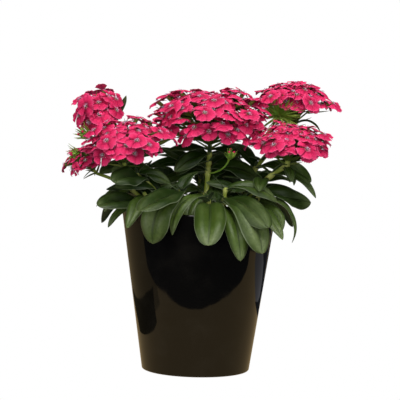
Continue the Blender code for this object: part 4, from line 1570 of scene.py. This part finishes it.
@dataclass
class LeafyShoot:
    """One stem with its leaves."""

    plan: ShootPlan
    sides: int = 14
    rings: int = 56
    root: float = 14.0
    taper: float = 0.22
    swell: float = 0.34
    swell_length: float = 0.0022
    pair: int = 2
    axil_rise: float = 0.8
    filler_from: float = 146.0
    filler_to: float = 188.0
    filler_below: float = 16.0
    filler_step: float = 9.0
    filler_turn: Span = (60, 110)

    def leaves(self) -> list[Leaf]:
        """Reads from the frame which leaves there are, and how each was settled.

        Returns:
            The leaves.
        """
        packed = Packed(self.plan.name)
        found = []
        for number, leaf in enumerate(self.plan.leaves):
            foot = self.plan.curve(self.plan.height(leaf.at))
            for change in LEAF_TRIES:
                moved = leaf.changed(*change)
                tip, _, _, up = moved.line(foot)[-1]
                half = up * (BLADE_THICKNESS / 2 * MM)
                if packed.hits([tip + half, tip - half]):
                    found.append(Leaf(moved, foot, f"{self.plan.name} {number}"))
                    break
        return found

    def young(self) -> list[Leaf]:
        """Places the small young leaves that stand in the axils of the grown ones.

        Returns:
            The young leaves.
        """
        rng = random.Random(self.plan.name)
        found = []
        for number, at in enumerate(sorted({leaf.at for leaf in self.plan.leaves})):
            start = rng.uniform(0, 360)
            for k in range(self.pair):
                plan = YOUNG.draw(at + self.axil_rise, start + 180 * k, rng)
                foot = self.plan.curve(self.plan.height(at))
                seed = f"{self.plan.name} young {number} {k}"
                found.append(Leaf(plan, foot, seed, rows=14, columns=9, middle_thickness=0.5))
        return found

    def fillers(self) -> list[Leaf]:
        """Places the small high leaves of a flowering stem and its dark middle ones, in pairs that cross.

        Returns:
            The leaves.
        """
        rng = random.Random(f"{self.plan.name} fillers")
        found = []
        for number, plan in enumerate(SMALL_LEAVES.get(self.plan.name, ())):
            foot = self.plan.curve(self.plan.height(plan.at))
            found.append(Leaf(plan, foot, f"{self.plan.name} small {number}", rows=20, columns=11))
        at, start = self.filler_from, rng.uniform(0, 180)
        while at < min(self.filler_to, self.plan.tip_point().z / MM - self.filler_below):
            foot = self.plan.curve(self.plan.height(at))
            for k in range(self.pair):
                plan = FILLER.draw(at, start + 180 * k, rng)
                if plan:
                    seed = f"{self.plan.name} filler {at} {k}"
                    found.append(Leaf(plan, foot, seed, rows=20, columns=11, middle_thickness=0.6))
            at += self.filler_step * rng.uniform(0.8, 1.2)
            start += rng.uniform(*self.filler_turn)
        return found

    def stalk(self, mesh: Mesh) -> None:
        """Adds the stem, swollen at the knuckle of each pair of leaves.

        Args:
            mesh: The piece it is added to.
        """
        plan = self.plan
        knuckles = sorted({round(plan.curve(plan.height(leaf.at)).z, 5) for leaf in plan.leaves})
        foot = plan.foot_point()
        points = [foot - Vector((0, 0, self.root * MM))]
        radii, joints = [plan.radius * MM], [0.0]
        for i in range(self.rings):
            t = i / (self.rings - 1)
            point = plan.curve(t)
            near = max(math.exp(-((point.z - z) / self.swell_length) ** 2) for z in knuckles)
            points.append(point)
            radii.append(plan.radius * (1 - self.taper * t) * (1 + self.swell * near) * MM)
            joints.append(near)
        if plan.head:
            points.append(head_plan(plan.head).neck_point())
            radii.append(radii[-1])
            joints.append(0.4)
        mesh.tube(points, radii, self.sides, 0.5, joints)

    def build(self, stems: Finish, leaves: Finish) -> None:
        """Makes the stem's and the leaves' pieces.

        Args:
            stems: The stem's finish.
            leaves: The leaves' finish.
        """
        wood, green = Mesh(), Mesh()
        self.stalk(wood)
        for leaf in self.leaves() + self.young() + (self.fillers() if self.plan.head else []):
            leaf.add_to(green)
        name = self.plan.name
        wood.piece(f"stalk_{name}", stems, Slot.FOLIAGE, name)
        green.piece(f"leaves_{name}", leaves, Slot.FOLIAGE, name)


@dataclass
class Pot:
    """The turned pot, with a rounded lip and foot."""

    sides: int = 160
    floor: float = 3.0
    underside: float = 0.6
    foot_radius: float = 1.6
    heel: float = 2.0
    arc_steps: int = 7
    outer_levels: tuple[float, ...] = (20.0, 45.0, 70.0, 95.0, 120.0)
    inner_levels: tuple[float, ...] = (120.0, 60.0, 5.0)

    def wall(self, z: float) -> float:
        """The pot's outer radius at a height, in millimetres."""
        return POT_BASE_RADIUS + (POT_RIM_RADIUS - POT_BASE_RADIUS) * z / POT_HEIGHT

    def profile(self) -> list[Span]:
        """Works out the pot's section.

        Returns:
            Radius and height of its points, from the middle of the underside, round the lip, to the floor's.
        """
        lip, foot = POT_WALL / 2, self.foot_radius
        points = [(0.0, 0.0), (POT_BASE_RADIUS * self.underside, 0.0)]
        for i in range(self.arc_steps):
            turned = math.pi / 2 * i / (self.arc_steps - 1)
            edge = POT_BASE_RADIUS - foot
            radius = edge + (self.wall(foot) - edge) * math.sin(turned)
            points.append((radius, foot * (1 - math.cos(turned))))
        points += [(self.wall(z), z) for z in self.outer_levels]
        top = POT_HEIGHT - lip
        for i in range(2 * self.arc_steps):
            turned = math.pi * i / (2 * self.arc_steps - 1)
            points.append((self.wall(top) - lip + lip * math.cos(turned), top + lip * math.sin(turned)))
        points += [(self.wall(z) - POT_WALL, z) for z in self.inner_levels]
        points += [(self.wall(self.floor) - POT_WALL - self.heel, self.floor), (0.0, self.floor)]
        return points

    def build(self, plastic: Finish) -> None:
        """Makes the pot's piece.

        Args:
            plastic: Its finish.
        """
        mesh, rings = Mesh(), []
        section = self.profile()
        for i, (radius, z) in enumerate(section):
            count = self.sides if radius else 1
            spots = [Vector((*circled(k, self.sides, radius), z)) * MM for k in range(count)]
            marks = [(i / len(section), k / self.sides, 0.5, 0.0) for k in range(count)]
            rings.append(mesh.ring(spots, marks))
        for low, high in zip(rings, rings[1:]):
            for k in range(self.sides):
                after = (k + 1) % self.sides
                corners = [low[n % len(low)] for n in (k, after)] + [high[n % len(high)] for n in (after, k)]
                mesh.faces.append(tuple(dict.fromkeys(corners)))
        mesh.piece("pot_black", plastic, Slot.POT, "pot")


@dataclass
class Compost:
    """The lumpy compost with its crumbs."""

    sides: int = 120
    rings: int = 44
    low: float = 3.6
    clearance: float = 0.5
    mound: float = 3.0
    crumbs: int = 260
    crumb_reach: float = 0.95
    crumb_drop: float = 2.2
    crumb_size: Span = (0.6, 1.7)
    crumb_stretch: Span = (1.0, 2.6)
    spread: float = 66.0
    lumps: int = 420
    lump_size: Span = (2, 6)
    lump_height: Span = (-1.0, 1.3)
    lowest: float = -2.0
    highest: float = 2.5
    seed: int = 41

    def build(self, finish: Finish) -> None:
        """Makes the compost's piece.

        Args:
            finish: Its finish.
        """
        rng = random.Random(self.seed)
        spans = ((-self.spread, self.spread), (-self.spread, self.spread), self.lump_size, self.lump_height)
        lumps = [tuple(rng.uniform(*span) for span in spans) for _ in range(self.lumps)]
        pot = Pot()
        edge = SOIL_TOP - self.mound
        rim = pot.wall(edge) - POT_WALL - self.clearance
        mesh = Mesh()
        bottom = mesh.ring([Vector((0, 0, self.low)) * MM], [(0.0, 0.0, 0.0, 0.0)])
        last = self.circle(mesh, pot.wall(self.low) - POT_WALL - self.clearance, self.low, [])
        for k in range(self.sides):
            mesh.faces.append((bottom[0], last[(k + 1) % self.sides], last[k]))
        for i in range(self.rings):
            share = 1 - i / self.rings
            height = SOIL_TOP - self.mound * share ** 3
            row = self.circle(mesh, rim * share, height, lumps if i else [])
            mesh.bridge(last, row)
            last = row
        top = mesh.ring([Vector((0, 0, SOIL_TOP)) * MM], [(1.0, 0.0, 0.0, 0.0)])
        for k in range(self.sides):
            mesh.faces.append((last[k], last[(k + 1) % self.sides], top[0]))
        for _ in range(self.crumbs):
            self.crumb(mesh, rng, rim)
        mesh.piece("compost", finish, Slot.COMPOST, "soil")

    def circle(self, mesh: Mesh, radius: float, z: float, lumps: list[Mark]) -> list[int]:
        """Adds one ring of the compost.

        Args:
            mesh: The piece.
            radius: The ring's radius in millimetres.
            z: Its height.
            lumps: The place, size and height of each lump.

        Returns:
            The numbers of its points.
        """
        spots = []
        for k in range(self.sides):
            x, y = circled(k, self.sides, radius)
            rise = sum(high * math.exp(-((x - a) ** 2 + (y - b) ** 2) / size ** 2)
                       for a, b, size, high in lumps if abs(x - a) < 2 * size and abs(y - b) < 2 * size)
            spots.append(Vector((x, y, z + max(self.lowest, min(self.highest, rise)))) * MM)
        return mesh.ring(spots, [(0.5, k / self.sides, 0.2, 0.0) for k in range(self.sides)])

    def crumb(self, mesh: Mesh, rng: random.Random, rim: float) -> None:
        """Adds a loose crumb or a bit of bark, half sunk in the compost.

        Args:
            mesh: The piece.
            rng: The compost's random draws.
            rim: The compost's radius in millimetres.
        """
        away, around = rim * self.crumb_reach * math.sqrt(rng.random()), rng.uniform(0, math.tau)
        height = SOIL_TOP - self.crumb_drop * (away / rim) ** 3
        middle = Vector((away * math.cos(around), away * math.sin(around), height)) * MM
        ahead = Vector((rng.uniform(-1, 1), rng.uniform(-1, 1), rng.uniform(-0.3, 0.3))).normalized()
        size = rng.uniform(*self.crumb_size) * MM
        length = size * rng.uniform(*self.crumb_stretch)
        points = [middle + ahead * length * step for step in (-1.0, -0.6, 0.5, 1.0)]
        mesh.tube(points, [size * rng.uniform(0.3, 1.0) for _ in points], 5, rng.random())


@dataclass(frozen=True)
class Glow:
    """The plain light of a card, and whether the card is seen itself or only mirrored in gloss."""

    colour: Colour
    strength: float
    seen: bool = False


WHITE = (1.0, 1.0, 1.0)
PALE = Glow(WHITE, 1.0, True)
TABLE = Glow((1.0, 0.72, 0.36), 0.42)
ROOM = Glow((0.02, 0.02, 0.022), 1.0)


@dataclass(frozen=True)
class TableShape:
    """A flat shape on the table, which only the pot's gloss mirrors. Its corners are x and y in metres."""

    name: str
    glow: Glow
    corners: tuple[Span, ...]


MIRRORED = (
    TableShape("table_left", Glow((1.0, 0.74, 0.38), 0.20), (
        (-0.19, -0.10), (-0.19, 3.0), (-4.0, 3.0), (-4.0, -0.10),
    )),
    TableShape("beyond_table", Glow((0.6, 0.7, 1.0), 0.02), (
        (-0.458, 0.007), (-0.412, -0.003), (-0.347, -0.023), (-0.282, -0.074), (-0.184, -0.152),
        (-0.116, -0.174), (-0.059, -0.185), (-0.007, -0.192), (0.069, -0.191), (0.146, -0.170),
        (0.220, -0.131), (0.288, -0.077), (0.342, -0.039), (0.369, -0.029), (0.413, -0.028), (0.440, 0.084),
        (0.455, 0.290), (0.9, 1.4), (4.0, 2.5), (4.0, -4.0), (-4.0, -4.0), (-4.0, 0.05),
    )),
    TableShape("behind_table", Glow((0.6, 0.7, 1.0), 0.02), (
        (-0.16, 0.46), (-0.06, 0.40), (0.06, 0.40), (0.18, 0.46), (0.6, 1.2), (2.0, 4.0), (-2.0, 4.0),
        (-0.22, 1.6),
    )),
    TableShape("dark_left", Glow((1.0, 0.80, 0.45), 0.035), (
        (-0.222, 0.40), (-0.240, 0.20), (-0.272, 0.011), (-0.264, -0.066), (-0.203, -0.059), (-0.158, -0.060),
        (-0.147, -0.037), (-0.138, 0.102), (-0.159, 0.158), (-0.171, 0.281), (-0.175, 0.40),
    )),
    TableShape("window_right", Glow((0.92, 0.92, 1.0), 0.24), (
        (0.443, 0.084), (0.396, 0.086), (0.331, 0.116), (0.248, 0.155), (0.227, 0.232), (0.228, 0.306),
        (0.289, 0.351), (0.380, 0.360), (0.455, 0.290),
    )),
    TableShape("dark_right", Glow((0.7, 0.8, 1.0), 0.03), (
        (0.455, 0.290), (0.380, 0.360), (0.289, 0.351), (0.228, 0.306), (0.227, 0.232), (0.250, 0.143),
        (0.112, 0.285), (0.180, 0.450), (0.500, 0.900), (0.9, 1.4),
    )),
)


@dataclass(frozen=True)
class SoftLight:
    """A square soft light that points at the plant: its side is in metres and its power in watts."""

    name: str
    place: Place
    size: float
    power: float
    colour: Colour
    mirrored: bool = True


LIGHTS = (
    SoftLight("key_softbox", (0.10, -0.80, 1.55), 1.0, 22.0, (1.0, 0.98, 0.96)),
    SoftLight("fill_front", (0.0, -1.5, 0.25), 0.6, 4.5, WHITE, False),
    SoftLight("fill_right", (1.1, -0.9, 0.55), 0.8, 6.0, (0.97, 0.98, 1.0)),
    SoftLight("fill_left", (-1.1, -0.9, 0.55), 0.8, 6.0, WHITE),
    SoftLight("fill_back", (0.0, 1.2, 1.3), 1.0, 12.0, WHITE, False),
)


@dataclass
class Studio:
    """The pale floor and backdrop, the soft lights, the dark surround that gloss mirrors, and the camera."""

    camera_place: Place = (0.0, -1.4, 0.234)
    lens: float = 144.2
    sensor: float = 36.0
    yaw: float = 0.0214
    pitch: float = -3.4815
    roll: float = -1.43
    target: Place = (0.0, 0.0, 0.17)
    clip: Span = (0.05, 40.0)
    world_light: float = 0.13
    floor_level: float = -0.0004
    table_level: float = -0.0010
    level_step: float = 0.0001
    seen_radius: float = 9.0
    seen_reach: float = 104.0
    mirrored_radius: float = 8.0
    mirrored_reach: float = 90.0
    disc_sides: int = 96
    dome_sides: int = 48
    dome_rings: int = 12

    def camera(self) -> None:
        """Sets the camera at the photograph's place."""
        yaw, pitch, roll = (math.radians(angle) for angle in (self.yaw, self.pitch, self.roll))
        ahead = Vector((math.sin(yaw) * math.cos(pitch), math.cos(yaw) * math.cos(pitch), math.sin(pitch)))
        right = ahead.cross(Vector((0, 0, 1))).normalized()
        up = right.cross(ahead)
        tilted_right = right * math.cos(roll) - up * math.sin(roll)
        tilted_up = right * math.sin(roll) + up * math.cos(roll)
        data = bpy.data.cameras.new("camera")
        data.lens = self.lens
        data.sensor_width = self.sensor
        data.clip_start, data.clip_end = self.clip
        made = bpy.data.objects.new("camera", data)
        made.matrix_world = Matrix((tilted_right, tilted_up, -ahead)).transposed().to_4x4()
        made.matrix_world.translation = Vector(self.camera_place)
        bpy.context.scene.collection.objects.link(made)
        bpy.context.scene.camera = made

    def light(self, plan: SoftLight) -> None:
        """Hangs a soft light.

        Args:
            plan: The light.
        """
        data = bpy.data.lights.new(plan.name, "AREA")
        data.size = plan.size
        data.energy = plan.power
        data.color = plan.colour
        made = bpy.data.objects.new(plan.name, data)
        made.location = plan.place
        made.rotation_euler = (Vector(self.target) - Vector(plan.place)).to_track_quat("-Z", "Y").to_euler()
        made.visible_glossy = plan.mirrored
        bpy.context.scene.collection.objects.link(made)

    def card(self, name: str, points: list[Place], faces: list[tuple[int, ...]], glow: Glow) -> None:
        """Adds a card of the set, which casts no shadow.

        Args:
            name: Its name.
            points: Its corners.
            faces: Its faces.
            glow: Its light.
        """
        data = bpy.data.meshes.new(name)
        data.from_pydata(points, [], faces)
        data.materials.append(Recipe(name).glow(glow.colour, glow.strength))
        made = bpy.data.objects.new(name, data)
        bpy.context.scene.collection.objects.link(made)
        made.visible_camera = glow.seen
        made.visible_glossy = not glow.seen
        made.visible_diffuse = made.visible_shadow = made.visible_transmission = False

    def disc(self, name: str, level: float, radius: float, glow: Glow) -> None:
        """Adds a level disc about the pot.

        Args:
            name: Its name.
            level: Its height.
            radius: Its radius.
            glow: Its light.
        """
        points = [(*circled(k, self.disc_sides, radius), level) for k in range(self.disc_sides)]
        self.card(name, points, [tuple(range(self.disc_sides))], glow)

    def dome(self, name: str, radius: float, reach: float, glow: Glow) -> None:
        """Adds a dome over the set.

        Args:
            name: Its name.
            radius: Its radius.
            reach: How far down it goes, in degrees from its top.
            glow: Its light.
        """
        count = self.dome_sides
        points, faces = [(0.0, 0.0, radius)], []
        for i in range(1, self.dome_rings + 1):
            down = math.radians(reach) * i / self.dome_rings
            out, up = radius * math.sin(down), radius * math.cos(down)
            points += [(*circled(k, count, out), up) for k in range(count)]
        for k in range(count):
            after = (k + 1) % count
            faces.append((0, 1 + after, 1 + k))
            for i in range(self.dome_rings - 1):
                low, high = 1 + i * count, 1 + (i + 1) * count
                faces.append((low + k, low + after, high + after, high + k))
        self.card(name, points, faces, glow)

    def build(self) -> None:
        """Makes the set."""
        scene = bpy.context.scene
        scene.view_settings.view_transform = "Standard"
        world = bpy.data.worlds.new("studio")
        world.use_nodes = True
        background = world.node_tree.nodes["Background"]
        background.inputs["Color"].default_value = (*WHITE, 1.0)
        background.inputs["Strength"].default_value = self.world_light
        scene.world = world
        self.camera()
        for plan in LIGHTS:
            self.light(plan)
        self.disc("floor_pale", self.floor_level, self.seen_radius, PALE)
        self.dome("backdrop_pale", self.seen_radius, self.seen_reach, PALE)
        self.disc("mirrored_table", self.table_level, self.mirrored_radius, TABLE)
        for number, shape in enumerate(MIRRORED):
            level = self.table_level + self.level_step * (number + 1)
            corners = [(x, y, level) for x, y in shape.corners]
            self.card(shape.name, corners, [tuple(range(len(corners)))], shape.glow)
        self.dome("mirrored_room", self.mirrored_radius, self.mirrored_reach, ROOM)


def main() -> None:
    """Builds every part of the scene in order."""
    logging.basicConfig(level=logging.INFO, format="%(name)s: %(message)s")
    Studio().build()
    Pot().build(GlossyPlastic().material())
    Compost().build(CompostSkin().material())
    stems, leaves = STEM_SKIN.material(), LeafSkin().material()
    for plan in SHOOTS:
        LeafyShoot(plan).build(stems, leaves)
    petals, greens, anthers = PetalSkin().material(), CALYX_SKIN.material(), AntherSkin().material()
    for plan in HEADS:
        FlowerHead(plan, filler_edge=SKIRTS.get(plan.name, FULL_SKIRT)).build(petals, greens, anthers)
    bracts = BRACT_SKIN.material()
    for tuft in TUFTS:
        tuft.build(bracts, petals)


if __name__ == "__main__":
    main()
